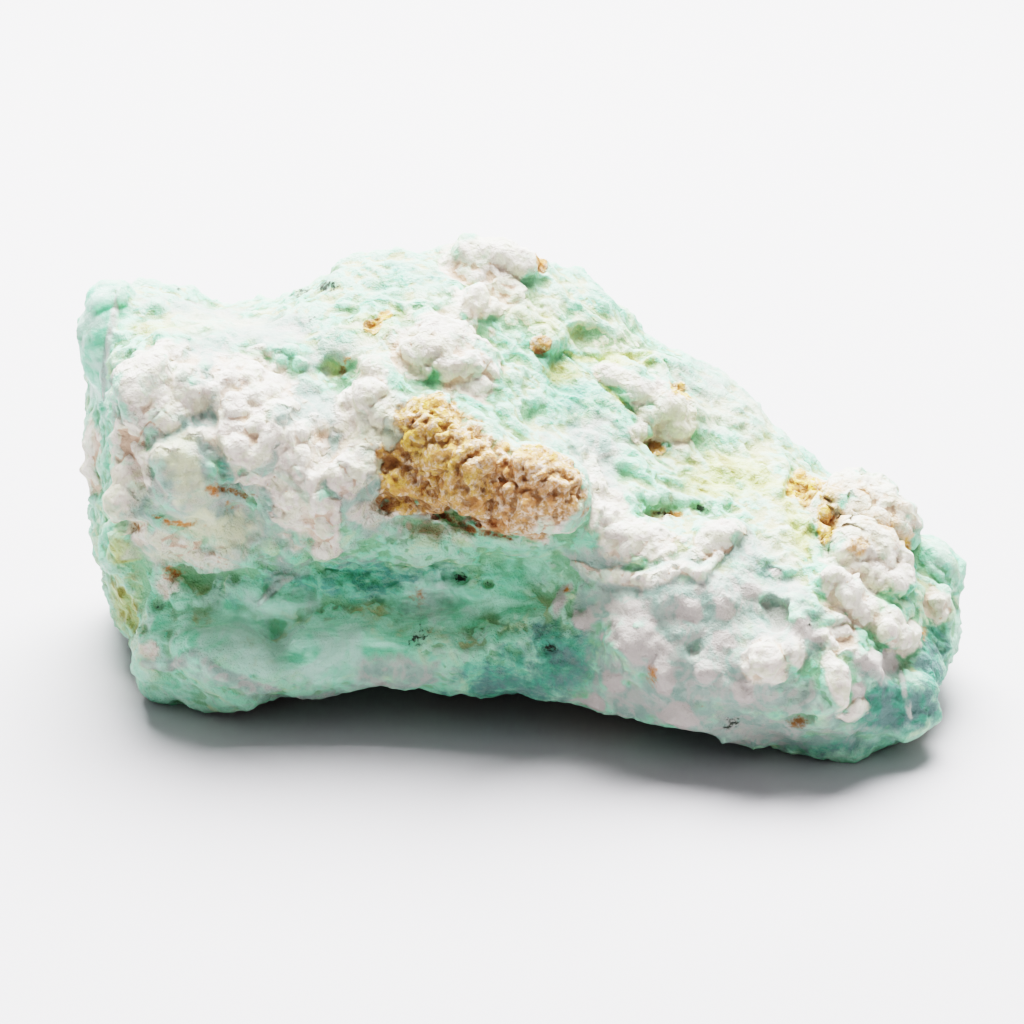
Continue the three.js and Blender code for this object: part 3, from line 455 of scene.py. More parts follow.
def vertex_array(mesh, what="co"):
    """The mesh's vertex positions (in mm) or normals as an array."""
    values = np.empty(len(mesh.vertices) * 3)
    mesh.vertices.foreach_get(what, values)
    return values.reshape(-1, 3) / (MM if what == "co" else 1)


def edge_array(mesh):
    """The mesh's edges as pairs of vertex numbers."""
    pairs = np.empty(len(mesh.edges) * 2, dtype=np.int64)
    mesh.edges.foreach_get("vertices", pairs)
    return pairs.reshape(-1, 2)


def spread(values, edges, steps):
    """Even the values out over the mesh, by averaging each with its neighbours."""
    one, two = edges[:, 0], edges[:, 1]
    count = np.bincount(edges.ravel(), minlength=len(values))[:, None]
    result = values.reshape(len(values), -1)
    for _ in range(steps):
        total = np.stack([
            np.bincount(one, column[two], len(values)) + np.bincount(two, column[one], len(values))
            for column in result.T
        ], axis=1)
        result = 0.5 * result + 0.5 * total / np.maximum(count, 1)
    return result.reshape(values.shape)


def give_weights(thing, name, weights):
    """Store an array as a vertex group."""
    group = thing.vertex_groups.get(name) or thing.vertex_groups.new(name=name)
    for index in np.nonzero(weights > LEAST_WEIGHT)[0]:
        group.add([int(index)], float(min(weights[index], 1)), "REPLACE")


def give_attribute(thing, name, values):
    """Store an array as a point attribute that the material reads."""
    attribute = thing.data.attributes.new(name, "FLOAT", "POINT")
    attribute.data.foreach_set("value", np.clip(values, 0, 1).astype(np.float32))


# ---------------------------------------------------------------- noise
def smooth_step(low, high, values):
    """0 below low, 1 above high, smooth between."""
    share = np.clip((values - low) / (high - low), 0, 1)
    return share * share * (3 - 2 * share)


def lattice(cell, seed):
    """A repeatable number from 0 to 1 for every whole-number cell."""
    mixed = cell @ np.array([73856093, 19349663, 83492791]) + seed * 6542989
    mixed = (mixed ^ (mixed >> 13)) * 1274126177
    mixed = mixed ^ (mixed >> 16)
    return (mixed & 0xFFFFFF) / 0xFFFFFF


def smooth_noise(places, seed):
    """Smooth noise from -1 to 1 whose lumps are one unit across."""
    cell = np.floor(places).astype(np.int64)
    part = places - cell
    part = part * part * (3 - 2 * part)
    total = np.zeros(len(places))
    for corner in itertools.product((0, 1), repeat=3):
        share = np.prod(np.where(corner, part, 1 - part), axis=1)
        total += share * lattice(cell + np.array(corner), seed)
    return total * 2 - 1


def grain(points, size, seed, octaves=3):
    """Noise of about -1 to 1 whose largest lumps are size mm across."""
    total = np.zeros(len(points))
    for octave in range(octaves):
        total += smooth_noise(points / size * 2 ** octave + octave * 7.3, seed + octave) * 0.5 ** octave
    return total


def ridges(points, size, seed, octaves=4):
    """Sharp crests and soft valleys, 0 to 1, the largest size mm apart."""
    total = np.zeros(len(points))
    weight = np.ones(len(points))
    for octave in range(octaves):
        crest = (1 - np.abs(smooth_noise(points / size * 2 ** octave + octave * 5.1, seed + octave))) ** 2
        total += crest * weight * 0.5 ** octave
        weight = np.clip(crest * 1.4, 0, 1)
    return total / 1.9


def domes(points, size, seed):
    """Packed round bumps, 1 at a crown and 0 in the creases, about size mm across."""
    places = points / size
    home = np.floor(places).astype(np.int64)
    nearest = np.full(len(points), 9.0)
    for step in itertools.product((-1, 0, 1), repeat=3):
        cell = home + np.array(step)
        centre = cell + np.stack([lattice(cell, seed + axis) for axis in range(3)], axis=1)
        nearest = np.minimum(nearest, ((centre - places) ** 2).sum(axis=1))
    return np.clip(1 - nearest * 1.5, 0, 1)


def warped(points, size, amount, seed):
    """The points pushed about, so that a pattern read there wanders."""
    push = np.stack([smooth_noise(points / size, seed + axis) for axis in range(3)], axis=1)
    return points + push * amount


def stretched(points, turn, along, over):
    """The points drawn out on the sheet, so that a pattern read there runs along this direction."""
    sheet = on_sheet(points)
    first, second = turned(sheet, turn)
    return np.stack([first / along, second / over, sheet[:, 2]], axis=1)


# ---------------------------------------------------------------- places on the stone
def on_sheet(points):
    """Across, up and outward (mm) of points in mm."""
    axes = np.array([ACROSS, UPWARD, OUTWARD])
    return (points - np.array(SHEET_CENTRE) / MM) @ axes.T


def turned(sheet, turn):
    """How far along a direction of the sheet each place is, and how far over it."""
    lean = math.radians(turn)
    along = sheet[:, 0] * math.cos(lean) + sheet[:, 1] * math.sin(lean)
    over = sheet[:, 1] * math.cos(lean) - sheet[:, 0] * math.sin(lean)
    return along, over


def place_on(tree, across, up):
    """The front point of the stone at this place on the sheet, and its normal."""
    start = SHEET_CENTRE + (ACROSS * across + UPWARD * up) * MM + OUTWARD * FAR_OUT
    point, normal, _, _ = tree.ray_cast(start, -OUTWARD)
    return point, normal


def anchor(tree, across, up):
    """The sheet place (across, up, outward) of the front of the stone there, or None."""
    found, _ = place_on(tree, across, up)
    return None if found is None else on_sheet(np.array([found]) / MM)[0]


def patch_reach(sheet, tree, patch):
    """The points near one oval patch, and how far out each is (1 at its edge)."""
    across, up, wide, high, _, turn = oval(patch)
    centre = anchor(tree, across, up)
    if centre is None:
        return np.zeros(0, dtype=int), np.zeros(0)
    far = 1.9 * max(wide, high) + 0.5
    near = np.nonzero((np.abs(sheet[:, 0] - across) < far) & (np.abs(sheet[:, 1] - up) < far))[0]
    away = sheet[near] - centre
    along, over = turned(away, turn)
    deep = max(wide, high) * 1.3 + 1.5
    return near, np.sqrt((along / wide) ** 2 + (over / high) ** 2 + (away[:, 2] / deep) ** 2)


def patch_cover(sheet, tree, patches, wander, edge):
    """How much each point is covered by a list of patches, with wandering edges."""
    cover = np.zeros(len(sheet))
    for patch in patches:
        strength = oval(patch)[4]
        near, reach = patch_reach(sheet, tree, patch)
        inside = smooth_step(1 + edge, 1 - edge, reach + wander[near]) * strength
        cover[near] = np.maximum(cover[near], inside)
    return cover


def stroke_cover(sheet, tree, widest, path, wander):
    """How much each point is covered by a line drawn on the sheet, thinner toward its ends."""
    cover = np.zeros(len(sheet))
    places = [place for place in (anchor(tree, *point) for point in path) if place is not None]
    for step, (start, end) in enumerate(zip(places, places[1:])):
        low = np.minimum(start, end) - 2 * widest
        high = np.maximum(start, end) + 2 * widest
        near = np.nonzero(np.all((sheet[:, :2] > low[:2]) & (sheet[:, :2] < high[:2]), axis=1))[0]
        line = end - start
        share = np.clip((sheet[near, :2] - start[:2]) @ line[:2] / (line[:2] @ line[:2]), 0, 1)
        away = sheet[near] - (start + share[:, None] * line)
        run = (step + share) / (len(places) - 1)
        wide = widest * (0.2 + 0.8 * np.sqrt(4 * run * (1 - run)))
        reach = np.hypot(away[:, 0], away[:, 1]) / wide + wander[near]
        reach = np.hypot(reach, away[:, 2] / (2 * wide + 1.5))
        cover[near] = np.maximum(cover[near], smooth_step(1.4, 0.4, reach))
    return cover


def behind(normals):
    """How far each point belongs to the sides and back that the sheet doesn't reach."""
    return smooth_step(0.0, -0.35, normals @ np.array(OUTWARD))


def covers(points, normals, tree):
    """The share of every finish at each point: drawn in front, left to seeded noise behind."""
    sheet = on_sheet(points)
    rough = grain(points, size=2.4, seed=101) * 0.35
    rough += grain(points, size=0.9, seed=107, octaves=2) * 0.25
    hidden = behind(normals)
    broad = grain(points, size=9.0, seed=113)
    other = grain(points, size=7.0, seed=127)
    small = grain(points, size=2.5, seed=131)
    unseen = {
        "chalk": smooth_step(0.22, 0.45, broad + small * 0.3),
        "curd": smooth_step(0.5, 0.7, other + small * 0.3) * 0.7,
        "milk": smooth_step(0.15, 0.45, other + small * 0.3),
        "deep": smooth_step(0.0, 0.4, -broad + small * 0.3),
        "cream": smooth_step(0.1, 0.5, broad - other * 0.5),
        "bottle_green_and_shade": smooth_step(0.2, 0.6, -broad - small * 0.3),
        "glass": smooth_step(0.2, 0.6, small + broad * 0.5),
        "lime": smooth_step(0.25, 0.6, -other + small * 0.3) * 0.8,
        "ochre": smooth_step(0.5, 0.65, grain(points, size=6.0, seed=149) + small * 0.25),
        "gold": smooth_step(0.0, 0.5, other),
        "rust": smooth_step(0.45, 0.8, small + other * 0.4) * 0.6,
        "brown": smooth_step(0.5, 0.8, grain(points, size=2.0, seed=157, octaves=2)) * 0.7,
        "soot": smooth_step(0.6, 0.85, grain(points, size=1.6, seed=163, octaves=2)) * 0.8,
    }
    shares = {}
    for name, patches in PATCHES.items():
        front = patch_cover(sheet, tree, patches, rough * WANDER[name], EDGE[name])
        for widest, _, path in STROKES.get(name, ()):
            line = stroke_cover(sheet, tree, widest, path, rough)
            front = np.maximum(front, line * smooth_step(-0.6, 0.1, rough))
        shares[name] = np.maximum(front * (1 - hidden), unseen[name] * hidden)
    return shares


# ---------------------------------------------------------------- the stone's body
def stone_body():
    """A merged, evenly meshed copy of the CAD solid, its facets rubbed away."""
    source = bpy.data.objects[NODE]
    body = bpy.data.objects.new("stone", source.data.copy())
    bpy.context.scene.collection.objects.link(body)
    only(body)
    bpy.ops.object.mode_set(mode="EDIT")
    bpy.ops.mesh.select_all(action="SELECT")
    bpy.ops.mesh.remove_doubles(threshold=0.01 * MM)
    bpy.ops.object.mode_set(mode="OBJECT")
    body.data.materials.clear()
    only(*bellies(), body)
    bpy.ops.object.join()
    finish_modifier(body, "REMESH", mode="VOXEL", voxel_size=ROUGH_VOXEL)
    finish_modifier(body, "SMOOTH", factor=0.5, iterations=4)
    return body


def ball(subdivisions):
    """A ball of radius 1."""
    bpy.ops.mesh.primitive_ico_sphere_add(subdivisions=subdivisions, radius=1)
    return bpy.context.object


def bellies():
    """Broad swellings that fill the hollow under the brow."""
    swellings = []
    for across, up, out, wide, high, deep in BELLIES:
        belly = ball(subdivisions=4)
        place = SHEET_CENTRE + (ACROSS * across + UPWARD * up + OUTWARD * out) * MM
        sized = SHEET_TURN @ Matrix.Diagonal((wide * MM, high * MM, deep * MM))
        belly.matrix_world = Matrix.Translation(place) @ sized.to_4x4()
        swellings.append(belly)
    return swellings


def pebble(seed):
    """A knob that others are copies of: a ball with a lumpy skin."""
    knob = ball(subdivisions=3)
    bpy.ops.object.mode_set(mode="EDIT")
    bpy.ops.mesh.select_all(action="SELECT")
    bpy.ops.transform.vertex_random(offset=0.3, seed=seed)
    bpy.ops.mesh.vertices_smooth(factor=0.5, repeat=2)
    bpy.ops.object.mode_set(mode="OBJECT")
    return knob


def set_knob(pebbles, point, normal, wide, high, turn, proud, chance):
    """A copy of a pebble on the surface, with this share of its thickness standing proud."""
    thick = min(wide, high) * FLATNESS
    centre = point + normal * (proud * 2 - 1) * thick * MM
    sized = SHEET_TURN @ Matrix.Rotation(math.radians(turn), 3, "Z")
    sized = sized @ Matrix.Diagonal((wide * MM, high * MM, thick * MM))
    for axis in "YX":
        sized = sized @ Matrix.Rotation(chance.uniform(0, TUMBLE), 3, axis)
    copy = bpy.data.objects.new("knob", chance.choice(pebbles).data.copy())
    copy.matrix_world = Matrix.Translation(centre) @ sized.to_4x4()
    bpy.context.scene.collection.objects.link(copy)
    return copy


def listed_knobs(pebbles, tree, chance):
    """The knobs of the list."""
    copies = []
    for place in itertools.chain(*KNOBS.values()):
        across, up, wide, high, proud, turn = oval(place)
        point, normal = place_on(tree, across, up)
        if point is not None:
            copies.append(set_knob(pebbles, point, normal, wide, high, turn, proud - SUNK, chance))
    return copies


def strewn_crumbs(pebbles, body, chance, weights, count, proud):
    """Small knobs strewn over the body where the weights are high."""
    points = vertex_array(body.data)
    normals = vertex_array(body.data, "normal")
    smallest, largest = CRUMB_SIZES
    copies = []
    for pick in chance.choices(range(len(points)), weights=weights.tolist(), k=count):
        high = smallest + (largest - smallest) * chance.random() ** 2
        point = Vector(points[pick]) * MM
        wide = high * chance.uniform(0.8, 1.3)
        copies.append(set_knob(pebbles, point, Vector(normals[pick]), wide, high,
                               chance.uniform(0, 180), proud * chance.uniform(0.6, 1.3), chance))
    return copies


def press(thing, heights):
    """Raise the surface by these heights (mm), and sink it where they are negative."""
    for sign in (1, -1):
        part = np.clip(heights * sign, 0, None)
        most = float(part.max())
        give_weights(thing, "part", part / most)
        finish_modifier(thing, "DISPLACE", direction="NORMAL", vertex_group="part",
                        strength=sign * most * MM, mid_level=0)
        thing.vertex_groups.clear()


def drawn_heights(points, tree):
    """Masses, pods, hollows and the lines of the lists, as heights in mm."""
    sheet = on_sheet(points)
    wander = grain(points, size=1.1, seed=211, octaves=2)
    uneven = grain(points, size=2.2, seed=217)
    cubes = np.zeros(len(points))
    for mass in itertools.chain(*MASSES.values()):
        _, _, wide, high, steepness, _ = oval(mass)
        near, reach = patch_reach(sheet, tree, mass)
        bulge = np.sqrt(np.clip(1 - (reach + uneven[near] * 0.3) ** 2, 0, 1))
        cubes[near] += (bulge * min(wide, high) * steepness * MASS_HEIGHT) ** 3
    heights = np.cbrt(cubes)
    for pod in PODS:
        height = oval(pod)[4]
        near, reach = patch_reach(sheet, tree, pod)
        dome = smooth_step(1.2, 0.2, reach + uneven[near] * 0.35) * height * POD_HEIGHT
        heights[near] = np.maximum(heights[near], dome)
    for hollow in HOLLOWS:
        depth = oval(hollow)[4]
        near, reach = patch_reach(sheet, tree, hollow)
        heights[near] -= smooth_step(1.35, 0.45, reach + wander[near] * 0.3) * depth
    for widest, height, path in itertools.chain(*STROKES.values()):
        rough = height * (0.8 + wander * 0.5)
        heights += stroke_cover(sheet, tree, widest, path, wander * 0.5 + uneven * 0.4) * rough
    return heights


def relief(stone, tree):
    """The fine relief of every finish, pressed in together."""
    points = vertex_array(stone.data)
    normals = spread(vertex_array(stone.data, "normal"), edge_array(stone.data), STONE_STEPS)
    shares = covers(points, normals, tree)
    crust = np.clip(shares["chalk"] - shares["ochre"], 0, 1)
    ochre = shares["ochre"]
    smooth = np.clip(np.maximum(shares["milk"], shares["curd"]) - crust - ochre, 0, 1)
    glassy = np.clip(shares["glass"] - crust - ochre, 0, 1)
    stony = np.clip(1 - crust - ochre - smooth * 0.75 - glassy * 0.75, 0, 1)

    # Places that wander, for patterns that mustn't look laid out.
    loose = warped(points, size=2.4, amount=1.0, seed=301)
    tight = warped(points, size=1.0, amount=0.4, seed=305)

    # White crust: a cauliflower of larger and smaller heads, evener in some parts.
    variety = smooth_step(-0.5, 0.6, grain(points, size=3.5, seed=317))
    cauliflower = domes(loose, size=3.0, seed=307) * 0.35
    cauliflower += domes(tight, size=1.3, seed=311) * (0.1 + 0.3 * variety)
    cauliflower += (ridges(loose, size=3.4, seed=313, octaves=3) * 0.6
                    + grain(loose, size=5.0, seed=315, octaves=2) * 0.45)
    cauliflower += grain(points, size=0.9, seed=319, octaves=2) * 0.15 - 0.25

    # Ochre crust: crumbs, ridges and pores.
    crumb = (domes(tight, size=0.8, seed=331) * 0.35
             + ridges(loose, size=2.2, seed=333) * 0.35
             + grain(points, size=1.8, seed=337, octaves=4) * 0.35)
    pores = smooth_step(0.25, 0.6, grain(points, size=0.9, seed=347, octaves=2)) * 0.5 + 0.15

    # Green stone: splinters that run down to the right.
    flow = stretched(warped(points, size=3.0, amount=1.5, seed=353), turn=-32, along=2.0, over=0.9)
    threads = stretched(warped(points, size=2.0, amount=0.8, seed=355), turn=-28, along=1.8, over=0.8)
    splinters = (ridges(flow, size=2.8, seed=359) * 0.85
                 + ridges(threads, size=1.3, seed=365, octaves=2) * 0.35)
    splinters += (grain(loose, size=4.5, seed=369) * 0.6
                  + grain(points, size=0.9, seed=367, octaves=2) * 0.15)

    # Milky stone: soft swells.
    swells = (domes(warped(points, size=4.0, amount=1.5, seed=373), size=3.4, seed=379) * 0.4
              + grain(points, size=1.5, seed=383) * 0.13)
    swells += ridges(loose, size=2.6, seed=385, octaves=3) * 0.35 - 0.2

    # Lower edge: calmer, in broad waves.
    low = smooth_step(1.0, -4.0, on_sheet(points)[:, 1]) * smooth_step(12, 2, points[:, 2])
    fringe = grain(loose, size=3.4, seed=389, octaves=2) * 0.8 * low

    # Glassy band: veins that run up to the right.
    drift = stretched(warped(points, size=5.0, amount=2.5, seed=397), turn=28, along=3.2, over=1.0)
    veins = ridges(drift, size=3.4, seed=401, octaves=2) * 0.7

    heights = crust * (cauliflower + 0.25) + ochre * (crumb + 0.5 - pores)
    heights += (stony * (splinters * (1 - low * 0.5) + fringe)
                + smooth * (swells + fringe * 0.4)
                + glassy * veins)
    press(stone, heights + drawn_heights(points, tree) - SETBACK)


def keep_on_floor(stone):
    """Bring anything that reached below the floor back to it, and stay near the CAD box."""
    low, high = CAD_BOX
    for vertex in stone.data.vertices:
        for axis, room in enumerate((SLACK, SLACK, 0)):
            vertex.co[axis] = min(max(vertex.co[axis], low[axis] - room), high[axis] + SLACK)


def thin(stone):
    """Take the triangles down to the final count, fewest where the stone is seldom seen."""
    triangles = sum(len(face.vertices) - 2 for face in stone.data.polygons)
    hidden = behind(vertex_array(stone.data, "normal"))
    give_weights(stone, "seldom", 0.1 + 0.9 * hidden)
    finish_modifier(stone, "DECIMATE", decimate_type="COLLAPSE", ratio=FINAL_TRIANGLES / triangles,
                    vertex_group="seldom", vertex_group_factor=SPARING, use_collapse_triangulate=True)
    stone.vertex_groups.clear()


def keep_one_piece(stone):
    """Delete every crumb that isn't joined to the stone."""
    only(stone)
    bpy.ops.object.mode_set(mode="EDIT")
    bpy.ops.mesh.select_mode(type="VERT")
    bpy.ops.mesh.select_all(action="DESELECT")
    bpy.ops.object.mode_set(mode="OBJECT")
    crest = max(stone.data.vertices, key=lambda vertex: vertex.co.z)
    crest.select = True
    bpy.ops.object.mode_set(mode="EDIT")
    bpy.ops.mesh.select_linked()
    bpy.ops.mesh.select_all(action="INVERT")
    bpy.ops.mesh.delete(type="VERT")
    bpy.ops.object.mode_set(mode="OBJECT")


def paint(stone, tree):
    """Attributes for the material: the finishes, the creases that lead its painted shade and highlight, and
    how far each side faces the softbox, for painted light and shade in the creases.
    """
    points = vertex_array(stone.data)
    edges = edge_array(stone.data)
    sharp = vertex_array(stone.data, "normal")
    normals = spread(sharp, edges, STONE_STEPS)
    for name, values in covers(points, normals, tree).items():
        give_attribute(stone, name, values)
    # How hollow each point is: the material paints shade in hollows and highlight on crests from it.
    crease = LEVEL
    for steps, weight in (NEAR_CREASE, FAR_CREASE):
        crease = crease + np.sum((spread(points, edges, steps) - points) * sharp, axis=1) * weight
    give_attribute(stone, "crease", crease)
    # How much each side faces the softbox: the material paints creases on these sides sage to sandy and
    # creases in shade mossy (painted light and shade).
    give_attribute(stone, "painted_light_side", smooth_step(0.1, 0.75, normals @ np.array((0.0, 0.44, 0.9))))


# ---------------------------------------------------------------- material
class Maker:
    """Small helper to lay down nodes and link them."""

    def __init__(self, name):
        self.material = bpy.data.materials.new(name)
        self.material.use_nodes = True
        self.tree = self.material.node_tree
        self.tree.nodes.clear()
        coordinates = self.node("ShaderNodeTexCoord")
        self.place = self.mapping(coordinates.outputs["Object"], (1 / MM, 1 / MM, 1 / MM))

    def node(self, kind, sockets=None, **settings):
        """A new node. A socket is given a value, or the output that leads to it."""
        made = self.tree.nodes.new(kind)
        for key, value in settings.items():
            setattr(made, key, value)
        for key, value in (sockets or {}).items():
            if isinstance(value, bpy.types.NodeSocket):
                self.tree.links.new(value, made.inputs[key])
            else:
                made.inputs[key].default_value = value
        return made

    def mapping(self, vector, scale, turn=(0, 0, 0)):
        rotation = [math.radians(angle) for angle in turn]
        sockets = {"Vector": vector, "Scale": scale, "Rotation": rotation}
        return self.node("ShaderNodeMapping", sockets).outputs["Vector"]

    def noise(self, size, detail=3, roughness=0.6, distortion=0.0, vector=None):
        sockets = {"Vector": vector or self.place, "Scale": 1 / size, "Detail": detail,
                   "Roughness": roughness, "Distortion": distortion}
        return self.node("ShaderNodeTexNoise", sockets).outputs["Fac"]

    def cells(self, size):
        sockets = {"Vector": self.place, "Scale": 1 / size}
        return self.node("ShaderNodeTexVoronoi", sockets, feature="SMOOTH_F1").outputs["Distance"]

    def attribute(self, name):
        return self.node("ShaderNodeAttribute", attribute_name=name).outputs["Fac"]

    def maths(self, operation, *values):
        return self.node("ShaderNodeMath", dict(enumerate(values)), operation=operation).outputs[0]

    def share(self, one, two):
        return self.maths("MULTIPLY", one, two)

    def ramp(self, value, low, high, start=0.0, end=1.0):
        sockets = {"Value": value, "From Min": low, "From Max": high, "To Min": start, "To Max": end}
        return self.node("ShaderNodeMapRange", sockets, interpolation_type="SMOOTHSTEP").outputs["Result"]

    def blend(self, amount, below, above):
        """A number between two others."""
        return self.node("ShaderNodeMix", {0: amount, 2: below, 3: above}, data_type="FLOAT").outputs[0]

    def lay(self, colour, *layers):
        """A colour with others laid over it, each given as (how much, colour)."""
        for amount, over in layers:
            sockets = {0: amount, 6: colour, 7: over}
            colour = self.node("ShaderNodeMix", sockets, data_type="RGBA").outputs[2]
        return colour

    def finished(self, surface):
        """The material, with this shader led to its output."""
        self.node("ShaderNodeOutputMaterial", {"Surface": surface.outputs["BSDF"]})
        return self.material


def shade(red, green, blue):
    """A colour from its screen values (0 to 255)."""
    linear = [((v / 255 + 0.055) / 1.055) ** 2.4 if v > 10 else v / 255 / 12.92 for v in (red, green, blue)]
    return (*linear, 1)


MINT = shade(146, 212, 178)
PALE_MINT = shade(184, 222, 198)
AQUA = shade(126, 202, 174)
# Painted shade for creases that face away from the softbox.
MOSS_CREASE_SHADE = shade(142, 188, 150)
GLASS = shade(200, 244, 222)
MIST = shade(198, 224, 212)
CREAM = shade(206, 214, 170)
TEAL = shade(108, 164, 152)
SLATE = shade(118, 146, 142)
EMERALD = shade(92, 166, 132)
BOTTLE = shade(98, 156, 136)
PALE_CREAM = shade(216, 218, 188)
LIME = shade(198, 210, 150)
OLIVE = shade(148, 142, 84)
# Painted shade for creases that face the softbox, sage to sandy.
SAGE_CREASE_SHADE = shade(124, 152, 120)
SANDY_CREASE_SHADE = shade(196, 192, 150)
MILK = shade(176, 188, 180)
CLOUDY = shade(152, 176, 166)
CURD = shade(194, 188, 183)
CHALK = shade(239, 234, 222)
DUSTY_CHALK = shade(214, 199, 193)
# Painted shade for the crust's creases, warm beige.
WARM_CREASE_SHADE = shade(212, 184, 162)
GOLD = shade(222, 182, 94)
TAN = shade(198, 154, 110)
BROWN = shade(150, 114, 80)
SUGAR = shade(238, 220, 202)
RUST = shade(188, 130, 84)
PEACH = shade(214, 158, 112)
SOOT = shade(78, 84, 76)

# The finest relief, left to bump: its whole depth, and the part that each pattern has in it.
BUMP_DEPTH = 0.35 * MM
GRIT_PART = 0.25
FINE_PART = 0.7
CRUMPLE_PART = 1.3


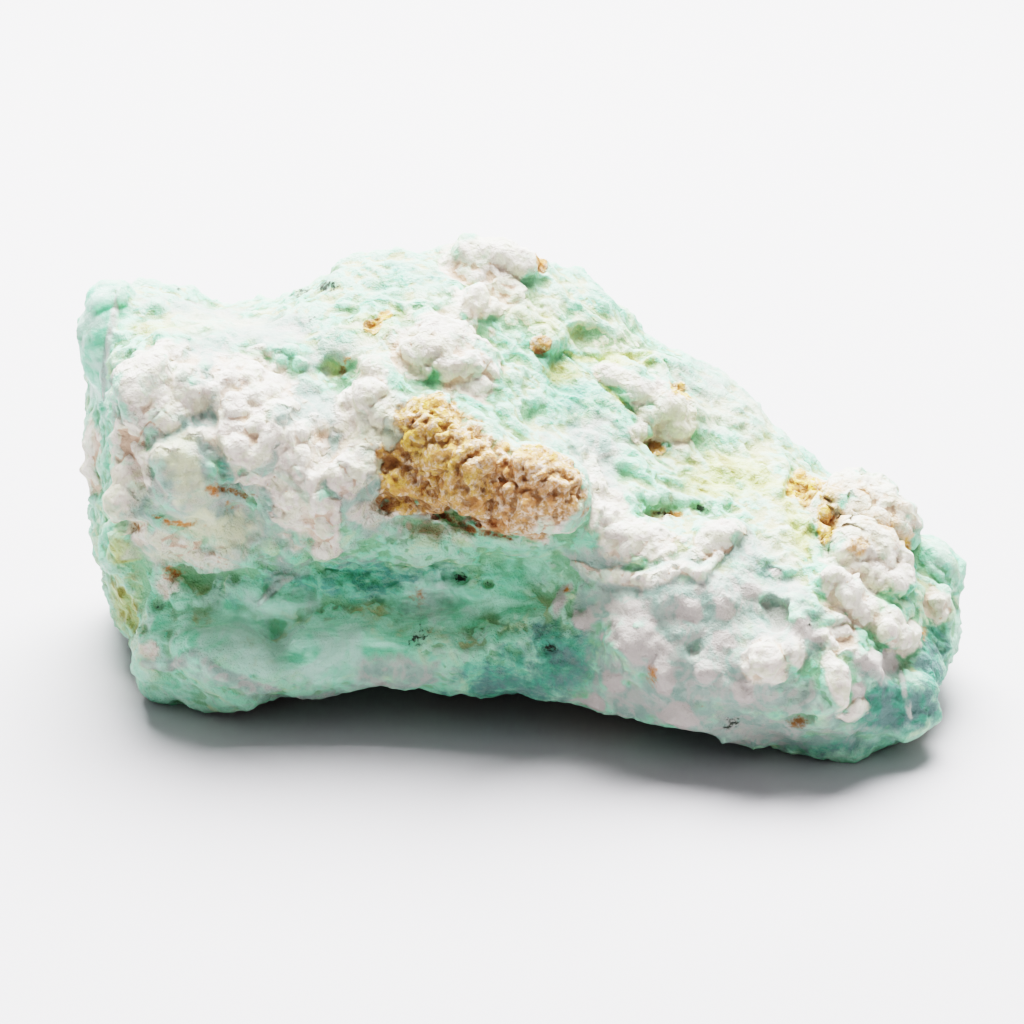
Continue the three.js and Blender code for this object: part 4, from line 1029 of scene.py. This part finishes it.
def stone_material():
    """Green stone under milky, white, ochre and rusty crusts, each with its own grain."""
    make = Maker("chrysoprase finish")
    broad = make.noise(7.0, detail=4, distortion=0.6)
    middle = make.noise(1.8, detail=4, distortion=0.4)
    fine = make.noise(0.45, detail=4)
    grit = make.noise(0.16, detail=2)
    curls = make.noise(3.4, roughness=0.5, distortion=2.6)
    streak_place = make.mapping(make.place, scale=(0.35, 1.2, 1.2), turn=(0, 35, 20))
    streaks = make.noise(0.8, detail=4, distortion=0.8, vector=streak_place)
    veils = make.noise(3.2, roughness=0.5, distortion=1.2, vector=streak_place)
    crease = make.attribute("crease")
    # Painted shade in the hollows and painted highlight on the crests, both read off the crease attribute.
    painted_crease_shade = make.ramp(crease, LEVEL, 0.85)
    painted_crest_highlight = make.ramp(crease, LEVEL, 0.2)
    fine_swing = make.maths("SUBTRACT", fine, 0.5)
    middle_swing = make.maths("SUBTRACT", middle, 0.5)

    def cover(name, middle_share, fine_share, low, high):
        """Where a finish lies, its edge broken up by the middle and fine noise."""
        part = make.maths("MULTIPLY_ADD", fine_swing, fine_share, make.attribute(name))
        whole = make.maths("MULTIPLY_ADD", middle_swing, middle_share, part)
        return make.ramp(whole, low, high)

    glass_cover = cover("glass", 0.7, 0.3, 0.2, 0.9)
    milk_cover = cover("milk", 0.9, 0.3, 0.15, 0.95)
    curd_cover = cover("curd", 0.5, 0.3, 0.25, 0.75)
    chalk_cover = cover("chalk", 0.8, 0.4, 0.2, 0.8)
    ochre_cover = cover("ochre", 0.7, 0.5, 0.25, 0.7)

    # The colour of the painted shade in the green stone's creases: sage to sandy where they face the
    # softbox, mossy where they face away.
    lit_crease_shade_colour = make.lay(SAGE_CREASE_SHADE, (make.ramp(broad, 0.42, 0.56), SANDY_CREASE_SHADE))
    crease_shade_colour = make.lay(MOSS_CREASE_SHADE, (make.attribute("painted_light_side"), lit_crease_shade_colour))
    green = make.lay(
        MINT,
        (make.ramp(broad, 0.38, 0.62), PALE_MINT),
        (make.ramp(curls, 0.5, 0.62, 0, 0.5), MILK),
        (make.ramp(make.noise(5.0, roughness=0.5, distortion=1.2), 0.52, 0.66, 0, 0.65), CREAM),
        (make.ramp(streaks, 0.5, 0.68, 0, 0.7), AQUA),
        (cover("cream", 1.2, 0.5, 0.2, 1.0), PALE_CREAM),
        # Painted shade in the creases and painted highlight on the crests.
        (make.share(painted_crease_shade, 0.85), crease_shade_colour),
        (make.share(painted_crest_highlight, 0.35), PALE_MINT),
    )
    # Dark teal: the stone's own colour, and painted shade in the recess under the brow and the gully beside
    # the block.
    deep_teal_and_shade = make.lay(
        AQUA,
        (make.ramp(middle, 0.38, 0.6), TEAL),
        (make.ramp(broad, 0.5, 0.64, 0, 0.7), SLATE),
        (make.ramp(streaks, 0.45, 0.62, 0, 0.5), PALE_MINT),
        (make.ramp(curls, 0.52, 0.62, 0, 0.6), EMERALD),
    )
    # Dark bottle green, partly painted shade on the lower faces and the right end.
    bottle_green_and_shade = make.lay(BOTTLE, (make.ramp(middle, 0.42, 0.6), SLATE))
    glass = make.lay(
        GLASS,
        (make.ramp(veils, 0.4, 0.62), MINT),
        (make.ramp(streaks, 0.4, 0.7, 0, 0.3), AQUA),
        (make.ramp(make.noise(6.0, roughness=0.5, distortion=1.0), 0.46, 0.62, 0, 0.8), MIST),
    )
    lime = make.lay(LIME, (make.ramp(middle, 0.42, 0.72), OLIVE))
    milk = make.lay(
        MILK,
        (make.ramp(middle, 0.35, 0.62), CLOUDY),
        (make.ramp(curls, 0.46, 0.6, 0, 0.6), CURD),
        (cover("cream", 0.8, 0.3, 0.2, 1.0), PALE_CREAM),
    )
    # Painted shade in the crust's creases, in a warm beige, stronger in some parts.
    warm_crease_shade = make.share(make.ramp(crease, 0.52, 0.85), make.ramp(broad, 0.42, 0.6, 0.15, 0.9))
    chalk = make.lay(
        CHALK,
        (make.ramp(middle, 0.42, 0.68, 0, 0.6), DUSTY_CHALK),
        (make.share(make.ramp(curls, 0.46, 0.6), 0.5), PALE_CREAM),
        (make.ramp(make.noise(4.2, roughness=0.5, distortion=1.0), 0.56, 0.66, 0, 0.45), PALE_MINT),
        (make.share(cover("cream", 1.0, 0.4, 0.2, 1.0), 0.55), PALE_CREAM),
        (warm_crease_shade, WARM_CREASE_SHADE),
        (make.ramp(make.noise(0.5, detail=2, roughness=0.5), 0.7, 0.76, 0, 0.5), TAN),
    )
    sugary = make.noise(0.7, detail=2, roughness=0.5, distortion=0.5)
    golden = make.share(make.attribute("gold"), make.ramp(middle, 0.38, 0.62, 0.1, 0.8))
    ochre = make.lay(
        TAN,
        (make.ramp(fine, 0.4, 0.7), SUGAR),
        (make.ramp(make.noise(1.6, distortion=0.5), 0.48, 0.62, 0, 0.8), PEACH),
        (golden, GOLD),
        (make.ramp(sugary, 0.56, 0.66, 0, 0.6), SUGAR),
        (make.share(make.ramp(grit, 0.5, 0.7), 0.3), BROWN),
        # Painted shade in the ochre's creases, in brown.
        (make.share(painted_crease_shade, 0.6), BROWN),
    )
    colour = make.lay(
        green,
        (cover("deep", 0.8, 0.5, 0.15, 0.95), deep_teal_and_shade),
        (cover("bottle_green_and_shade", 0.8, 0.5, 0.15, 0.95), bottle_green_and_shade),
        (glass_cover, glass),
        (cover("lime", 1.0, 0.6, 0.3, 1.1), lime),
        (milk_cover, milk),
        (curd_cover, CURD),
        (chalk_cover, chalk),
        (ochre_cover, ochre),
        (cover("rust", 0.9, 1.6, 0.4, 1.2), RUST),
        (cover("brown", 0.9, 1.6, 0.4, 1.1), BROWN),
        (cover("soot", 0.9, 2.4, 0.55, 1.1), SOOT),
    )

    dry = make.maths("MAXIMUM", chalk_cover, ochre_cover)
    powder = make.share(make.maths("SUBTRACT", 1.0, make.cells(0.75)), dry)
    milky = make.maths("MAXIMUM", milk_cover, curd_cover)
    coarse = make.maths("SUBTRACT", 1.0, make.share(milky, 0.5))
    crumple = make.noise(1.1, detail=5, roughness=0.62, distortion=0.8)
    crumple = make.share(crumple, make.maths("MAXIMUM", coarse, dry))
    heights = make.maths("MULTIPLY_ADD", fine, FINE_PART, powder)
    heights = make.maths("MULTIPLY_ADD", grit, GRIT_PART, heights)
    heights = make.maths("MULTIPLY_ADD", crumple, CRUMPLE_PART, heights)
    bump = make.node("ShaderNodeBump", {"Strength": 1.0, "Distance": BUMP_DEPTH, "Height": heights})

    wet_roughness = make.ramp(fine, 0.3, 0.7, 0.34, 0.58)
    wet_glow = make.blend(glass_cover, 0.45, 0.75)
    wet_depth = make.blend(glass_cover, 0.6 * MM, 2.6 * MM)
    return make.finished(make.node("ShaderNodeBsdfPrincipled", {
        "Base Color": colour,
        "Roughness": make.blend(dry, wet_roughness, 0.92),
        "Normal": bump.outputs["Normal"],
        "Subsurface Weight": make.blend(dry, wet_glow, 0.12),
        "Subsurface Radius": (1.0, 1.0, 1.0),
        "Subsurface Scale": make.blend(dry, wet_depth, 0.5 * MM),
        "IOR": 1.53,
        "Specular IOR Level": 0.25,
    }))


def floor_material():
    """Plain pale paper."""
    make = Maker("pale floor")
    sockets = {"Base Color": FLOOR_COLOUR, "Roughness": FLOOR_ROUGHNESS}
    return make.finished(make.node("ShaderNodeBsdfPrincipled", sockets))


# ---------------------------------------------------------------- build
def build_stone():
    """The stone, dressed and put in the place of the CAD solid."""
    chance = random.Random(SEED)
    body = stone_body()
    tree = BVHTree.FromObject(body, bpy.context.evaluated_depsgraph_get())
    points = vertex_array(body.data)
    normals = spread(vertex_array(body.data, "normal"), edge_array(body.data), BODY_STEPS)
    shares = covers(points, normals, tree)
    chalk = np.clip(shares["chalk"] - shares["ochre"], 0, 1) ** 2
    ochre = shares["ochre"] ** 2
    pebbles = [pebble(seed) for seed in PEBBLE_SEEDS]
    pieces = listed_knobs(pebbles, tree, chance)
    pieces += strewn_crumbs(pebbles, body, chance, chalk, *CHALK_CRUMBS)
    pieces += strewn_crumbs(pebbles, body, chance, ochre, *OCHRE_CRUMBS)
    for knob in pebbles:
        bpy.data.objects.remove(knob)
    only(*pieces, body)
    bpy.ops.object.join()
    stone = bpy.context.object
    finish_modifier(stone, "REMESH", mode="VOXEL", voxel_size=FINE_VOXEL)
    finish_modifier(stone, "SMOOTH", factor=0.5, iterations=8)
    relief(stone, tree)
    thin(stone)
    keep_on_floor(stone)
    keep_one_piece(stone)
    paint(stone, tree)
    stone.name = "raw_chrysoprase"
    only(stone)
    bpy.ops.object.shade_smooth()
    stone.data.materials.append(stone_material())
    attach(stone, "root")
    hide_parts(NODE)


def build_stage():
    """The floor that the stone lies on."""
    bpy.ops.mesh.primitive_plane_add(size=FLOOR_SIZE, location=(0, 0, 0))
    floor = bpy.context.object
    floor.name = "floor"
    floor.data.materials.append(floor_material())


def light_scene():
    """A pale room, a softbox overhead and the view settings."""
    world = bpy.data.worlds.new("soft room")
    world.use_nodes = True
    background = world.node_tree.nodes["Background"]
    background.inputs["Color"].default_value = ROOM_COLOUR
    background.inputs["Strength"].default_value = ROOM_STRENGTH
    bpy.context.scene.world = world
    data = bpy.data.lights.new("overhead softbox", "AREA")
    data.shape = "DISK"
    data.size = SOFTBOX_SIZE
    data.energy = SOFTBOX_POWER
    softbox = bpy.data.objects.new("overhead softbox", data)
    softbox.location = SOFTBOX_PLACE
    aim = Vector(SOFTBOX_AIM) - Vector(SOFTBOX_PLACE)
    softbox.rotation_euler = aim.to_track_quat("-Z", "Y").to_euler()
    bpy.context.scene.collection.objects.link(softbox)
    view = bpy.context.scene.view_settings
    view.view_transform = "Filmic"
    view.look = "Very High Contrast"
    view.exposure = EXPOSURE


def add_camera():
    """A camera that looks down at the front of the stone, square to the sheet."""
    data = bpy.data.cameras.new("camera")
    data.sensor_width = SENSOR_WIDTH
    data.lens = SENSOR_WIDTH * CAMERA_DISTANCE / FIELD_WIDTH
    camera = bpy.data.objects.new("camera", data)
    camera.location = Vector(CAMERA_AIM) * MM + OUTWARD * (CAMERA_DISTANCE * MM)
    camera.rotation_euler = (math.radians(90 - LEAN), 0, 0)
    bpy.context.scene.collection.objects.link(camera)
    bpy.context.scene.camera = camera


build_stone()
build_stage()
light_scene()
add_camera()
